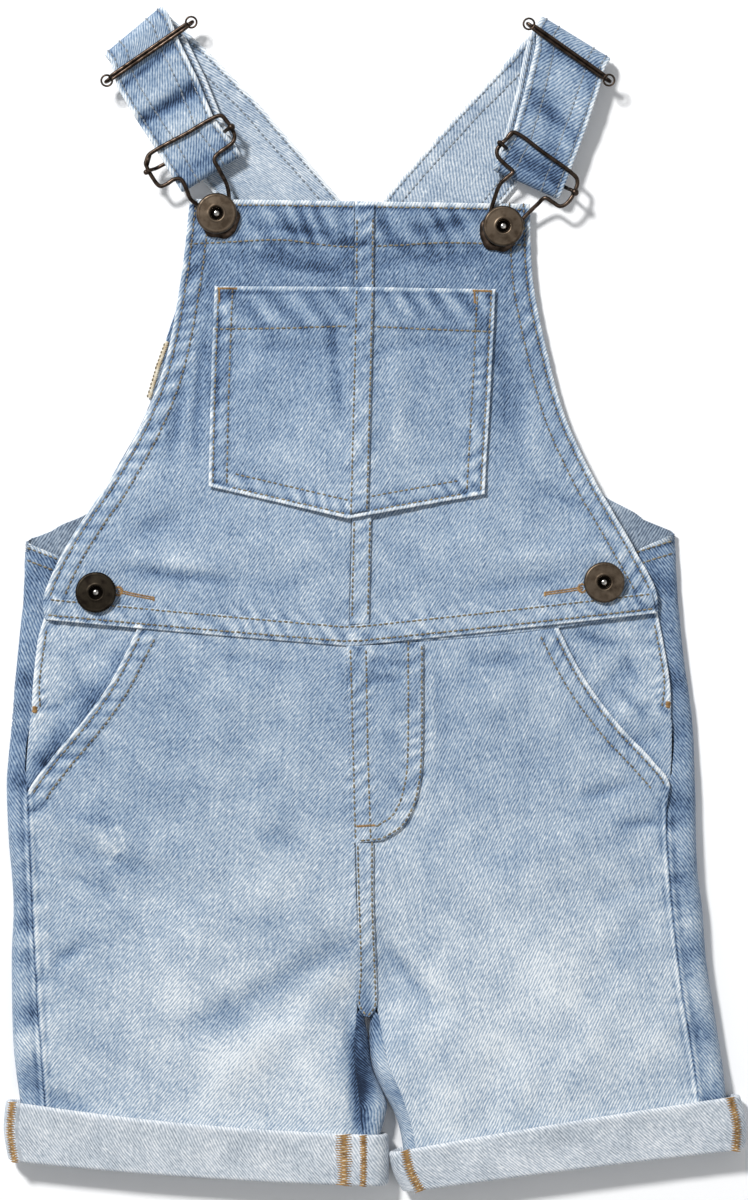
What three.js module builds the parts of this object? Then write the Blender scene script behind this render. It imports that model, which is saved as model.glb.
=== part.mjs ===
// A small child's denim shortalls, laid flat on their back with the bib up.
// Millimetres. X runs across the garment, Y up towards the straps, Z up off the surface it lies on.
// Left and right are as seen from above. Every cloth piece is a thin closed wall round a mid surface.

import * as THREE from 'three';

// Cloth and hardware sizes
const denim = 1.2;          // thickness of one layer
const band = 1.0;           // felled seams and the fly lap
const turnUp = 2.6;         // a cuff's wall, the hem rolled twice
const apart = 0.3;          // air between pieces that touch
const wire = 0.9;           // radius of the buckle and slider wire
const halfSeam = 0.25;      // half the air between panels that meet edge to edge
const halfInseam = 0.45;    // the same on the inseams, where the panels meet on a tight curve
const onFloor = denim / 2;  // mid surface of the cloth that lies on the floor
const crotch = { x: -3.6, y: -165, dip: 5.0, wide: 16, tall: 22, above: 12 };
const pocketBulge = { x: -6, rise: 1.4, wide: 24 };   // the bib pocket stands off the bib's centre seam
const insideEdge = 4;       // how far in from an edge line the front's height is read for its fold
const betweenLegs = 5;      // x of the line that parts the legs at the hems
const cuffRamp = { from: 18, to: 5 };   // the back rises onto a cuff over this way above the cuff's rim

// Height of the front's mid surface across the body: highest in the middle, lower at the edges
const frontRows = [
  { y: 165, middle: 6.4, edge: 3.6, centre: -6.5, half: 70 },
  { y: 90, middle: 7.6, edge: 3.8, centre: -7.5, half: 82 },
  { y: 50, middle: 8.3, edge: 5.6, centre: -9, half: 100 },
  { y: 15, middle: 9.0, edge: 7.9, centre: -10, half: 120 },
  { y: -10, middle: 9.4, edge: 8.6, centre: -10, half: 127 },
  { y: -45, middle: 9.8, edge: 9.2, centre: -10, half: 132 },
  { y: -150, middle: 10.1, edge: 9.4, centre: -8, half: 132 },
  { y: -245, middle: 11.0, edge: 10.0, centre: -2, half: 140 },
];

// The largest soft folds of the front: a ridge where rise is positive, a trough where it is negative
const folds = [
  { name: 'crotchDrag', x0: 2, y0: -138, x1: 24, y1: -168, rise: -1.0, wide: 7 },
  { name: 'crotchDragLeft', x0: -14, y0: -142, x1: -34, y1: -166, rise: -0.7, wide: 7 },
  { name: 'leftThigh', x0: -74, y0: -132, x1: -56, y1: -190, rise: 0.9, wide: 13 },
  { name: 'rightThigh', x0: 62, y0: -126, x1: 84, y1: -186, rise: 0.9, wide: 13 },
  { name: 'leftHip', x0: -118, y0: -92, x1: -70, y1: -112, rise: 0.7, wide: 9 },
  { name: 'rightHip', x0: 98, y0: -92, x1: 52, y1: -116, rise: 0.7, wide: 9 },
  { name: 'leftHem', x0: -40, y0: -196, x1: -30, y1: -222, rise: -0.8, wide: 8 },
  { name: 'rightHem', x0: 52, y0: -190, x1: 44, y1: -216, rise: -0.8, wide: 8 },
  { name: 'bibLeft', x0: -92, y0: 26, x1: -66, y1: 40, rise: -0.6, wide: 9 },
  { name: 'bibRight', x0: 74, y0: 28, x1: 50, y1: 38, rise: -0.6, wide: 9 },
];

// Outlines of the body and legs, as the outermost line of the cloth
const leftEdge = [
  { y: 24, x: -143.9 }, { y: 0, x: -144.6 }, { y: -25, x: -147.2 }, { y: -50, x: -149.2 },
  { y: -75, x: -151.3 }, { y: -97, x: -150.6 }, { y: -124, x: -148.5 }, { y: -150, x: -149.2 },
  { y: -185, x: -148.4 }, { y: -207, x: -145.6 }, { y: -230, x: -145.0 },
];
const rightEdge = [
  { y: 24, x: 123.4 }, { y: 0, x: 124.6 }, { y: -25, x: 127.1 }, { y: -50, x: 130.4 },
  { y: -79, x: 131.6 }, { y: -111, x: 132.4 }, { y: -128, x: 134.5 }, { y: -148, x: 135.9 },
  { y: -173, x: 139.8 }, { y: -198, x: 143.5 }, { y: -222, x: 145.0 },
];
const leftInseam = [
  { y: -150, x: 8 }, { y: -165, x: -3.6 }, { y: -184, x: -2.3 }, { y: -193, x: -1.0 },
  { y: -203, x: 3.4 }, { y: -208, x: 5.0 }, { y: -214, x: 3.8 }, { y: -220, x: 2.3 }, { y: -240, x: 2.2 },
];
const rightInseam = [
  { y: -150, x: -14.6 }, { y: -165, x: -3.0 }, { y: -184, x: -1.6 }, { y: -193, x: -0.2 },
  { y: -203, x: 4.6 }, { y: -208, x: 6.8 }, { y: -214, x: 9.0 }, { y: -220, x: 10.6 }, { y: -240, x: 13.4 },
];

// Side seams and inseams on top, where the wrapped back meets the front
const leftSideSeam = [
  { y: -50, x: -141.2 }, { y: -70, x: -142.8 }, { y: -88, x: -142.3 }, { y: -111, x: -141.0 },
  { y: -136, x: -139.8 }, { y: -159, x: -138.6 }, { y: -180, x: -137.1 }, { y: -204, x: -135.3 },
  { y: -230, x: -134.4 },
];
const rightSideSeam = [
  { y: -50, x: 121.6 }, { y: -68, x: 121.3 }, { y: -90, x: 119.3 }, { y: -110, x: 120.2 },
  { y: -136, x: 122.6 }, { y: -153, x: 124.6 }, { y: -171, x: 127.2 }, { y: -190, x: 130.4 },
  { y: -206, x: 133.0 }, { y: -226, x: 134.9 },
];
const leftLegSeam = [
  { y: -169, x: -7.4 }, { y: -180, x: -8.2 }, { y: -190, x: -8.0 }, { y: -203, x: -6.6 },
  { y: -215, x: -5.6 }, { y: -236, x: -5.3 },
];
const rightLegSeam = [
  { y: -169, x: 1.2 }, { y: -184, x: 4.0 }, { y: -192, x: 5.8 }, { y: -204, x: 11.2 }, { y: -222, x: 16.2 },
  { y: -240, x: 18.2 },
];

// How far the wrapped side strip lies under the front: level at the side seam, one layer down where the
// pocket's hip facing meets it, two layers down in the button vent
const stripRows = [
  { y: -40, drop: 3.1 }, { y: -58, drop: 3.1 }, { y: -76, drop: 1.5 }, { y: -84, drop: 1.4 },
  { y: -106, drop: 0 },
];

// Cut lines of the flat panels, a row for each section from the hem upwards, from a to b
const frontLeftRows = [
  { a: [-134.5, -226.3], b: [-5.3, -235.3], bow: -1.5 },
  { a: [-135.3, -203.8], b: [-5.5, -214.8], bow: -1 },
  { a: [-137.1, -180.0], b: [-7.0, -190] },
  { a: [-138.6, -158.7], b: [-7.2, -168.9] },
  { a: [-139.8, -136.1], b: [-5.5, -150.5] },
  { a: [-141.0, -111.5], b: [-7.4, -123.8] },
  { a: [-142.3, -92], b: [-8.0, -99.6] },
  { a: [-142.3, -79.9], b: [-8.6, -82.4] },
  { a: [-132.4, -65.6], b: [-9.2, -71.3] },
  { a: [-123.4, -54.9], b: [-9.8, -60.3] },
  { a: [-115.6, -45.1], b: [-10.2, -49.2] },
  { a: [-107.4, -32.8], b: [-10.7, -36.9] },
  { a: [-96.8, -12.7], b: [-11.2, -19.7] },
];
const frontRightRows = [
  { a: [17.8, -238.6], b: [134.9, -224.3], bow: -1 },
  { a: [15.8, -222.2], b: [133.7, -204.6], bow: -1 },
  { a: [10.9, -204], b: [130.0, -193.9] },
  { a: [4.9, -190], b: [128.6, -178] },
  { a: [1.0, -169], b: [124.0, -152.9] },
  { a: [-4.5, -150.5], b: [122.6, -136] },
  { a: [-6.8, -123.8], b: [120.7, -111.5] },
  { a: [-7.2, -101], b: [119.3, -92] },
  { a: [-7.8, -84], b: [120.8, -76.6] },
  { a: [-8.4, -71.3], b: [113.6, -66.4] },
  { a: [-9.4, -53], b: [98.8, -50.4] },
  { a: [-9.8, -35], b: [85.7, -32.4] },
  { a: [-10.4, -19.7], b: [75.0, -13.0], bow: -1.8 },
];
const facingLeftRows = [
  { a: [-141.9, -82.0], b: [-130.0, -82.8] },
  { a: [-142.7, -70.5], b: [-122.6, -72.6] },
  { a: [-141.0, -48.8], b: [-107.8, -53.3] },
  { a: [-140.2, -35.3], b: [-99.2, -40.2] },
  { a: [-138.2, -17.2], b: [-91.4, -23.4] },
  { a: [-135.7, -9.8], b: [-88.1, -14.1] },
];
const facingRightRows = [
  { a: [108.6, -82.8], b: [119.7, -79.9] },
  { a: [100.4, -73.0], b: [121.4, -66.4] },
  { a: [88.1, -56.2], b: [121.4, -48.8] },
  { a: [78.7, -41.8], b: [120.9, -34.4] },
  { a: [70.5, -25.4], b: [118.1, -17.2] },
  { a: [67.6, -13.5], b: [115.6, -6.6] },
];
const bibLeftRows = [
  { a: [-135.3, -8.8], b: [-10.2, -18.9] },
  { a: [-135.7, 0.8], b: [-10.2, -0.8] },
  { a: [-128.3, 18.0], b: [-9.8, 16.4] },
  { a: [-117.7, 35.3], b: [-9.4, 34.0] },
  { a: [-108.6, 48.4], b: [-9.2, 48.4] },
  { a: [-95.1, 73.0], b: [-8.8, 73.0] },
  { a: [-86.0, 98], b: [-8.6, 98] },
  { a: [-79.9, 130], b: [-8.4, 130] },
  { a: [-75.8, 164.0], b: [-8.2, 162.8] },
];
const bibRightRows = [
  { a: [-9.4, -18.9], b: [116.0, -5.5], bow: -2.8 },
  { a: [-9.4, -0.8], b: [114.8, 4.1], bow: -1.4 },
  { a: [-9.0, 16.4], b: [106.6, 19.7] },
  { a: [-8.6, 34.0], b: [97.2, 36.1] },
  { a: [-8.4, 48.4], b: [90.2, 48.4] },
  { a: [-8.0, 73.0], b: [78.7, 73.0] },
  { a: [-7.8, 98], b: [71.5, 98] },
  { a: [-7.6, 130], b: [65.0, 130] },
  { a: [-7.4, 162.8], b: [63.5, 161.9] },
];
const pocketRows = [
  { a: [-68.1, 45.7], mid: [-10.9, 32.4], b: [45.0, 42.5] },
  { a: [-68.0, 56], mid: [-10.7, 48], b: [45.6, 54] },
  { a: [-67.2, 90], mid: [-9.6, 86], b: [47.6, 89] },
  { a: [-65.8, 128.0], mid: [-8.3, 127.4], b: [49.5, 126.7] },
];
const pocketSeamRows = [
  { a: [-10.7, 34.4], b: [-2.7, 35.8] },
  { a: [-8.4, 126.6], b: [-0.4, 126.4] },
];
const bibSeamRows = [
  { a: [-10.3, -9.0], b: [-2.3, -9.0] },
  { a: [-9.2, 48], b: [-1.2, 48] },
  { a: [-8.2, 161.8], b: [-0.2, 161.8] },
];
const frontSeamRows = [
  { a: [-5.6, -152], b: [0.6, -152] },
  { a: [-7.2, -126], b: [-0.4, -126] },
  { a: [-7.8, -101.6], b: [-0.4, -101.6] },
];
const flyRows = [
  { a: [-8.2, -100.6], b: [3.0, -99.2] },
  { a: [-8.3, -96], b: [10.4, -94.6] },
  { a: [-8.6, -90], b: [14.6, -89] },
  { a: [-8.8, -80], b: [17.8, -80] },
  { a: [-9.3, -64], b: [19.7, -64] },
  { a: [-10.6, -21], b: [19.9, -21] },
];
const waistRows = [
  { a: [-134.7, -8.2], mid: [-9.8, -18.3], b: [115.2, -5.0], bow: -1.0 },
  { a: [-133.0, 0.2], mid: [-9.8, -10.2], b: [113.4, 2.6], bow: -1.0 },
];

// The back panels, cut flat: inner is the centre back and the inseam, outer the side seam, the vent and the
// armhole. An end that wraps is given where it lies once the cloth has come round its fold to the front.
const backLeftRows = [
  { inner: [-4.9, -235.3], innerWraps: true, outer: [-134.9, -226.3], outerWraps: true },
  { inner: [-5.1, -214.8], innerWraps: true, outer: [-135.7, -203.8], outerWraps: true },
  { inner: [-6.6, -190], innerWraps: true, outer: [-137.5, -180], outerWraps: true },
  { inner: [-6.8, -170], innerWraps: true, outer: [-139.0, -158.7], outerWraps: true },
  { inner: [-4.2, -160], outer: [-140.0, -140], outerWraps: true },
  { inner: [-5.0, -124], outer: [-141.4, -111.5], outerWraps: true },
  { inner: [-5.3, -98], outer: [-142.8, -90], outerWraps: true },
  { inner: [-5.3, -76], outer: [-143.4, -70], outerWraps: true },
  { inner: [-5.3, -56], outer: [-142.6, -54], outerWraps: true },
  { inner: [-5.3, -44], outer: [-130.0, -42], outerWraps: true },
  { inner: [-5.3, -20], outer: [-126.0, -20], outerWraps: true },
  { inner: [-5.3, 8], outer: [-127.0, 4], outerWraps: true },
  { inner: [-5.3, 30], outer: [-129.7, 17.2], outerWraps: true },
  { inner: [-5.3, 50], outer: [-132.0, 28.0] },
  { inner: [-5.3, 68], outer: [-116.8, 36.1] },
  { inner: [-5.3, 84], outer: [-107.0, 52.5] },
  { inner: [-5.3, 104], outer: [-93.5, 78] },
  { inner: [-5.3, 126], outer: [-85.5, 108] },
  { inner: [-5.4, 141], outer: [-74.0, 137] },
  { inner: [-5.7, 153.3], outer: [-60.3, 157.4] },
];
const backRightRows = [
  { inner: [17.2, -238.6], innerWraps: true, outer: [135.3, -224.3], outerWraps: true },
  { inner: [15.2, -222.2], innerWraps: true, outer: [134.1, -204.6], outerWraps: true },
  { inner: [10.3, -204], innerWraps: true, outer: [130.6, -193.9], outerWraps: true },
  { inner: [4.3, -190], innerWraps: true, outer: [129.0, -178], outerWraps: true },
  { inner: [0.4, -170], innerWraps: true, outer: [124.4, -152.9], outerWraps: true },
  { inner: [-3.4, -160], outer: [122.8, -134], outerWraps: true },
  { inner: [-4.4, -124], outer: [121.2, -110], outerWraps: true },
  { inner: [-4.7, -98], outer: [120.0, -90], outerWraps: true },
  { inner: [-4.7, -76], outer: [122.4, -70], outerWraps: true },
  { inner: [-4.7, -56], outer: [122.9, -54], outerWraps: true },
  { inner: [-4.7, -44], outer: [110.5, -42], outerWraps: true },
  { inner: [-4.7, -20], outer: [106.0, -20], outerWraps: true },
  { inner: [-4.7, 8], outer: [107.0, 6], outerWraps: true },
  { inner: [-4.7, 30], outer: [108.6, 20.2], outerWraps: true },
  { inner: [-4.7, 50], outer: [110.0, 32.5] },
  { inner: [-4.7, 68], outer: [92.2, 43.9] },
  { inner: [-4.7, 84], outer: [84.0, 61] },
  { inner: [-4.7, 104], outer: [73.8, 83.2] },
  { inner: [-4.7, 126], outer: [68.5, 110] },
  { inner: [-4.7, 141], outer: [59.5, 140] },
  { inner: [-5.0, 153.3], outer: [49.2, 156.6] },
];

// Cuffs: where each rim's outermost ends lie, the sag between them, and how far the back hangs lower
const cuffs = {
  cuff_left: { rims: [
    { left: [-151.4, -205.6], right: [5.5, -219.6], bow: -2.6, backDrop: 0 },
    { left: [-152.3, -218], right: [5.8, -230], bow: -2.4, backDrop: -0.6 },
    { left: [-150.4, -230.2], right: [5.5, -240.6], bow: -1.6, backDrop: -1.6 },
  ] },
  cuff_right: { rims: [
    { left: [5.2, -227.0], right: [149.6, -203.6], bow: 0.8, backDrop: 0 },
    { left: [7.4, -235.4], right: [152.3, -214.6], bow: 0.6, backDrop: 0 },
    { left: [11.4, -243.2], right: [152.0, -225.6], bow: 0.6, backDrop: 0 },
  ] },
};

// Straps: edge points from the back seam up to the shoulder fold, down the front to the buckle's fold, and the
// return under it up to the slider. outer is the edge away from the neck.
const strapHeight = { back: onFloor, front: 9.0, under: 5.4 };
const straps = {
  strap_left: {
    back: [
      { outer: [-60.0, 158.7], inner: [-6.6, 154.6] },
      { outer: [-70.5, 171.4], inner: [-24.0, 175.6] },
      { outer: [-88.1, 194.0], inner: [-48.0, 203.6] },
      { outer: [-99.4, 208.0], inner: [-68.6, 225.0] },
    ],
    shoulder: { outer: [-111.3, 223.4], inner: [-87.7, 243.2] },
    front: [
      { outer: [-105.6, 209.1], inner: [-80.2, 228.4] },
      { outer: [-98.4, 197.0], inner: [-73.0, 213.6] },
      { outer: [-90.2, 184.5], inner: [-66.4, 197.4] },
    ],
    bottom: { outer: [-79.0, 166.2], inner: [-54.7, 181.6] },
    under: [
      { outer: [-88.4, 184.5], inner: [-63.0, 197.4] },
      { outer: [-96.4, 197.0], inner: [-69.6, 213.6] },
      { outer: [-104.6, 211.6], inner: [-78.4, 231.4] },
    ],
  },
  strap_right: {
    back: [
      { outer: [48.8, 158.3], inner: [-4.0, 154.6] },
      { outer: [57.8, 169.3], inner: [8.6, 170.2] },
      { outer: [75.8, 193.5], inner: [32.6, 197.6] },
      { outer: [86.4, 207.6], inner: [52.4, 218.8] },
    ],
    shoulder: { outer: [96.9, 221.6], inner: [68.7, 239.0] },
    front: [
      { outer: [92.4, 210.0], inner: [66.0, 226.5] },
      { outer: [86.6, 192.4], inner: [61.6, 208.6] },
      { outer: [80.6, 176.4], inner: [56.8, 191.5] },
    ],
    bottom: { outer: [75.4, 163.4], inner: [48.2, 175.6] },
    under: [
      { outer: [78.2, 176.4], inner: [53.6, 191.5] },
      { outer: [83.6, 192.4], inner: [58.2, 208.6] },
      { outer: [90.4, 213.0], inner: [62.6, 229.4] },
    ],
  },
};

// Hardware
const button = {
  disc: 8.4, thick: 1.9, shank: 2.4, bevel: 0.6, rim: 0.5, rimWide: 1.4, recess: 3.0, deep: 0.9, pin: 1.9, dome: 0.2,
};
const barEnd = { ball: 1.5, neck: 1.3, facets: 4 };   // the ball at each end of a buckle's cross bar
const buttons = {
  button_bib_left: { x: -64.9, y: 157.6, stand: 2.9 },
  button_bib_right: { x: 52.6, y: 152.4, stand: 2.9 },
  button_side_left: { x: -114.2, y: 2.3, stand: 1.7 },
  button_side_right: { x: 93.8, y: 6.4, stand: 1.7 },
};
const overStrap = strapHeight.front + denim / 2 + apart + wire;
// Buckle frames: over is 1 where the wire lies on the strap and 0 where it lies on the bib round the shank
const buckles = {
  buckle_left: { knob: 'button_bib_left', path: [
    { x: -93.7, y: 178.6, over: 1 }, { x: -91.6, y: 182.2, over: 1 }, { x: -77.6, y: 190, over: 1 },
    { x: -64.2, y: 197.4, over: 1 }, { x: -60.8, y: 195.4, over: 1 }, { x: -57.6, y: 189.8, over: 1 },
    { x: -58.4, y: 186.4, over: 1 }, { x: -64.2, y: 182.0, over: 1 }, { x: -65.8, y: 179.4, over: 1 },
    { x: -63.8, y: 175.4, over: 0.95 }, { x: -60.6, y: 169.0, over: 0.45 }, { x: -59.8, y: 162.6, over: 0.08 },
    { x: -60.2, y: 156.6, over: 0 }, { x: -64.9, y: 152.6, over: 0 }, { x: -69.8, y: 156.6, over: 0 },
    { x: -72.4, y: 160.8, over: 0.06 }, { x: -75.6, y: 163.6, over: 0.4 }, { x: -77.4, y: 167.8, over: 0.95 },
    { x: -79.4, y: 171.4, over: 1 }, { x: -82.2, y: 171.4, over: 1 }, { x: -85.7, y: 169.2, over: 1 },
    { x: -88.4, y: 168.8, over: 1 }, { x: -91.6, y: 173.0, over: 1 }, { x: -93.5, y: 176.8, over: 1 },
  ] },
  buckle_right: { knob: 'button_bib_right', path: [
    { x: 53.4, y: 187.4, over: 1 }, { x: 57.2, y: 190.6, over: 1 }, { x: 69.2, y: 182.2, over: 1 },
    { x: 81.0, y: 173.6, over: 1 }, { x: 82.9, y: 170.2, over: 1 }, { x: 81.0, y: 164.8, over: 1 },
    { x: 78.3, y: 161.4, over: 1 }, { x: 75.6, y: 160.4, over: 1 }, { x: 73.2, y: 161.8, over: 0.95 },
    { x: 69.6, y: 163.8, over: 0.9 }, { x: 66.6, y: 161.4, over: 0.5 }, { x: 62.0, y: 157.0, over: 0.15 },
    { x: 57.8, y: 152.4, over: 0 }, { x: 52.8, y: 147.2, over: 0 }, { x: 48.0, y: 151.4, over: 0 },
    { x: 47.6, y: 158.2, over: 0.04 }, { x: 49.0, y: 163.8, over: 0.3 }, { x: 51.2, y: 169.4, over: 0.8 },
    { x: 54.8, y: 172.8, over: 1 }, { x: 56.4, y: 174.6, over: 1 }, { x: 53.5, y: 177.4, over: 1 },
    { x: 50.4, y: 180.6, over: 1 }, { x: 50.0, y: 183.4, over: 1 }, { x: 51.8, y: 186.0, over: 1 },
  ] },
};
const bars = {
  buckle_bar_left: { from: [-93.6, 174.2], to: [-58.8, 192.6] },
  buckle_bar_right: { from: [51.0, 186.2], to: [81.8, 166.0] },
};
const barHeight = (strapHeight.front + strapHeight.under) / 2;
const sliders = {
  slider_left: { from: [-109.2, 212.2], to: [-75.8, 235.3] },
  slider_right: { from: [63.6, 234.6], to: [95.2, 212.4] },
};

// Colours and finish
const finish = {
  denimFront: { color: 0xa9bdd1, roughness: 0.9, metalness: 0 },
  denimBack: { color: 0x93abc6, roughness: 0.9, metalness: 0 },
  denimInside: { color: 0xc5d0dc, roughness: 0.95, metalness: 0 },
  denimSeam: { color: 0x86a0bd, roughness: 0.9, metalness: 0 },
  antiqueBrass: { color: 0x5f5342, roughness: 0.4, metalness: 1 },
  darkWire: { color: 0x4b4238, roughness: 0.35, metalness: 1 },
};

// Smooth curves through table values
function splineAt(values, t) {
  const last = values.length - 1;
  const place = Math.min(Math.max(t, 0), 1) * last;
  const i = Math.min(Math.floor(place), last - 1);
  const f = place - i;
  const before = values[Math.max(i - 1, 0)];
  const after = values[Math.min(i + 2, last)];
  const p = values[i];
  const q = values[i + 1];
  const m = (q - before) / (i > 0 ? 2 : 1);
  const n = (after - p) / (i < last - 1 ? 2 : 1);
  const f2 = f * f;
  const f3 = f2 * f;
  return p * (2 * f3 - 3 * f2 + 1) + m * (f3 - 2 * f2 + f) + q * (3 * f2 - 2 * f3) + n * (f3 - f2);
}

// A column of a table whose rows run down in y, as a smooth function of y
function column(rows, name) {
  const last = rows.length - 1;
  const slope = rows.map((row, i) => {
    const above = rows[Math.max(i - 1, 0)];
    const below = rows[Math.min(i + 1, last)];
    return (below[name] - above[name]) / (below.y - above.y);
  });
  return (y) => {
    if (y >= rows[0].y) return rows[0][name];
    if (y <= rows[last].y) return rows[last][name];
    let i = 0;
    while (y < rows[i + 1].y) i++;
    const p = rows[i];
    const q = rows[i + 1];
    const h = q.y - p.y;
    const f = (y - p.y) / h;
    const f2 = f * f;
    const f3 = f2 * f;
    return p[name] * (2 * f3 - 3 * f2 + 1) + slope[i] * h * (f3 - 2 * f2 + f)
      + q[name] * (3 * f2 - 2 * f3) + slope[i + 1] * h * (f3 - f2);
  };
}

function smoothStep(from, to, value) {
  const f = Math.min(Math.max((value - from) / (to - from), 0), 1);
  return f * f * (3 - 2 * f);
}

function toSegment(x, y, s) {
  const dx = s.x1 - s.x0;
  const dy = s.y1 - s.y0;
  const f = Math.min(Math.max(((x - s.x0) * dx + (y - s.y0) * dy) / (dx * dx + dy * dy), 0), 1);
  return Math.hypot(x - s.x0 - f * dx, y - s.y0 - f * dy);
}

const middleHeight = column(frontRows, 'middle');
const edgeHeight = column(frontRows, 'edge');
const bodyCentre = column(frontRows, 'centre');
const bodyHalf = column(frontRows, 'half');
const stripDrop = column(stripRows, 'drop');

// Mid surface of the front cloth
function lift(x, y) {
  const s = Math.min(Math.abs(x - bodyCentre(y)) / bodyHalf(y), 1);
  const crown = edgeHeight(y) + (middleHeight(y) - edgeHeight(y)) * (1 - s * s);
  const nearCrotch = Math.exp(-(((x - crotch.x) / crotch.wide) ** 2) - ((y - crotch.y) / crotch.tall) ** 2);
  let height = crown - crotch.dip * nearCrotch;
  for (const fold of folds) {
    height += fold.rise * Math.exp(-((toSegment(x, y, fold) / fold.wide) ** 2));
  }
  return height;
}

// The back lies on the floor and rises only where it runs into the turned-up cuffs
function cuffTop(x) {
  const { rims } = x < betweenLegs ? cuffs.cuff_left : cuffs.cuff_right;
  const f = (x - rims[0].left[0]) / (rims[0].right[0] - rims[0].left[0]);
  return rims[0].left[1] + (rims[0].right[1] - rims[0].left[1]) * f;
}
function backHeight(x, y) {
  return onFloor + (turnUp + apart) * smoothStep(cuffTop(x) + cuffRamp.from, cuffTop(x) + cuffRamp.to, y);
}

// Grids of points. A panel's rows run from its first table row to its last, its columns from a to b. A seam
// given for an end moves that end onto the seam line wherever the seam reaches.
function onSeam(end, seam) {
  if (seam && end[1] <= seam.top && end[1] >= seam.foot) end[0] = seam.line(end[1]) + seam.gap;
  return end;
}
function spread(rows, across, along, height, seams = {}) {
  const pick = (key, axis) => rows.map((row) => row[key][axis]);
  const bend = 'mid' in rows[0];
  const grid = [];
  for (let i = 0; i <= along; i++) {
    const t = i / along;
    const at = (key) => onSeam([splineAt(pick(key, 0), t), splineAt(pick(key, 1), t)], seams[key]);
    const a = at('a');
    const b = at('b');
    const mid = bend ? at('mid') : [(a[0] + b[0]) / 2, (a[1] + b[1]) / 2];
    const bow = splineAt(rows.map((row) => row.bow ?? 0), t);
    grid.push(rowOfPoints(a, mid, b, bow, across, height));
  }
  return grid;
}
function rowOfPoints(a, mid, b, bow, across, height) {
  const line = [];
  for (let j = 0; j <= across; j++) {
    const s = j / across;
    const [p, q, f] = s < 0.5 ? [a, mid, s * 2] : [mid, b, s * 2 - 1];
    const x = p[0] + (q[0] - p[0]) * f;
    const y = p[1] + (q[1] - p[1]) * f + bow * 4 * s * (1 - s);
    line.push(new THREE.Vector3(x, y, height(x, y)));
  }
  return line;
}

// A fold that carries cloth from the back round to the front; way is -1 towards -X and 1 towards +X
function makeFold(edgeRows, way, top) {
  const edge = column(edgeRows, 'x');
  const radius = (y) => (top(edge(y) - way * insideEdge, y) - backHeight(edge(y), y)) / 2;
  const start = (y) => edge(y) - way * (radius(y) + denim / 2);
  return {
    way,
    start,
    past: (p, y) => way * (p - start(y)),
    arc: (y) => Math.PI * radius(y),
    unrolled: (x, y) => start(y) + way * Math.PI * radius(y) + start(y) - x,
    folded: (p, y) => {
      const r = radius(y);
      const past = way * (p - start(y));
      const floor = backHeight(edge(y), y);
      if (past < Math.PI * r) {
        const turn = past / r;
        return [start(y) + way * r * Math.sin(turn), floor + r * (1 - Math.cos(turn))];
      }
      const x = start(y) - way * (past - Math.PI * r);
      return [x, top(x, y)];
    },
  };
}

// One end of a back section in the flat cut. Sections up to the last one that wraps are unrolled round the
// fold, and above it the edge runs straight to the next section that lies flat.
function cutEnd(rows, key, fold, seam, t) {
  const point = (row) => row[key];
  const wraps = rows.findLastIndex((row) => row[`${key}Wraps`]);
  const place = t * (rows.length - 1);
  const x = splineAt(rows.map((row) => point(row)[0]), t);
  const y = splineAt(rows.map((row) => point(row)[1]), t);
  if (place <= wraps) return [fold.unrolled(onSeam([x, y], seam)[0], y), y];
  if (place >= wraps + 1) return [x, y];
  const from = point(rows[wraps]);
  const to = point(rows[wraps + 1]);
  const f = place - wraps;
  const start = fold.unrolled(...from);
  return [start + (to[0] - start) * f, from[1] + (to[1] - from[1]) * f];
}
// Columns of a back section: close together round each fold and even over the flat cloth between
const backColumns = { fold: 5, strip: 2, flat: 9, nearFold: 6, reach: 12 };
function foldStops(end, fold, towards) {
  const past = fold.past(end[0], end[1]);
  const arc = fold.arc(end[1]);
  const { fold: turns, strip, nearFold } = backColumns;
  const stops = [];
  if (past > arc + 1) {
    const start = fold.start(end[1]);
    for (let k = 0; k <= turns; k++) stops.push(start + (fold.way * arc * k) / turns);
    for (let k = 1; k <= strip; k++) stops.push(start + fold.way * (arc + ((past - arc) * k) / strip));
    return stops;
  }
  const reach = past > nearFold ? past : backColumns.reach;
  const start = end[0] + towards * reach;
  for (let k = 0; k <= turns + strip; k++) stops.push(start + ((end[0] - start) * k) / (turns + strip));
  return stops;
}
function backPanel(rows, folds, seams, along) {
  const grid = [];
  for (let i = 0; i <= along; i++) {
    const t = i / along;
    const a = cutEnd(rows, 'inner', folds.inseam, seams.inner, t);
    const b = cutEnd(rows, 'outer', folds.side, seams.outer, t);
    const way = Math.sign(b[0] - a[0]);
    const inner = foldStops(a, folds.inseam, way).reverse();
    const outer = foldStops(b, folds.side, -way);
    const from = inner[inner.length - 1];
    const places = [...inner];
    for (let k = 1; k < backColumns.flat; k++) {
      places.push(from + ((outer[0] - from) * k) / backColumns.flat);
    }
    places.push(...outer);
    grid.push(places.map((p) => {
      const y = a[1] + ((b[1] - a[1]) * (p - a[0])) / (b[0] - a[0]);
      if (folds.side.past(p, y) > 0) {
        const [x, z] = folds.side.folded(p, y);
        return new THREE.Vector3(x, y, z);
      }
      if (folds.inseam.past(p, y) > 0 && y < crotch.y + crotch.above) {
        const [x, z] = folds.inseam.folded(p, y);
        return new THREE.Vector3(x, y, z);
      }
      return new THREE.Vector3(p, y, backHeight(p, y));
    }));
  }
  return grid;
}

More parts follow.
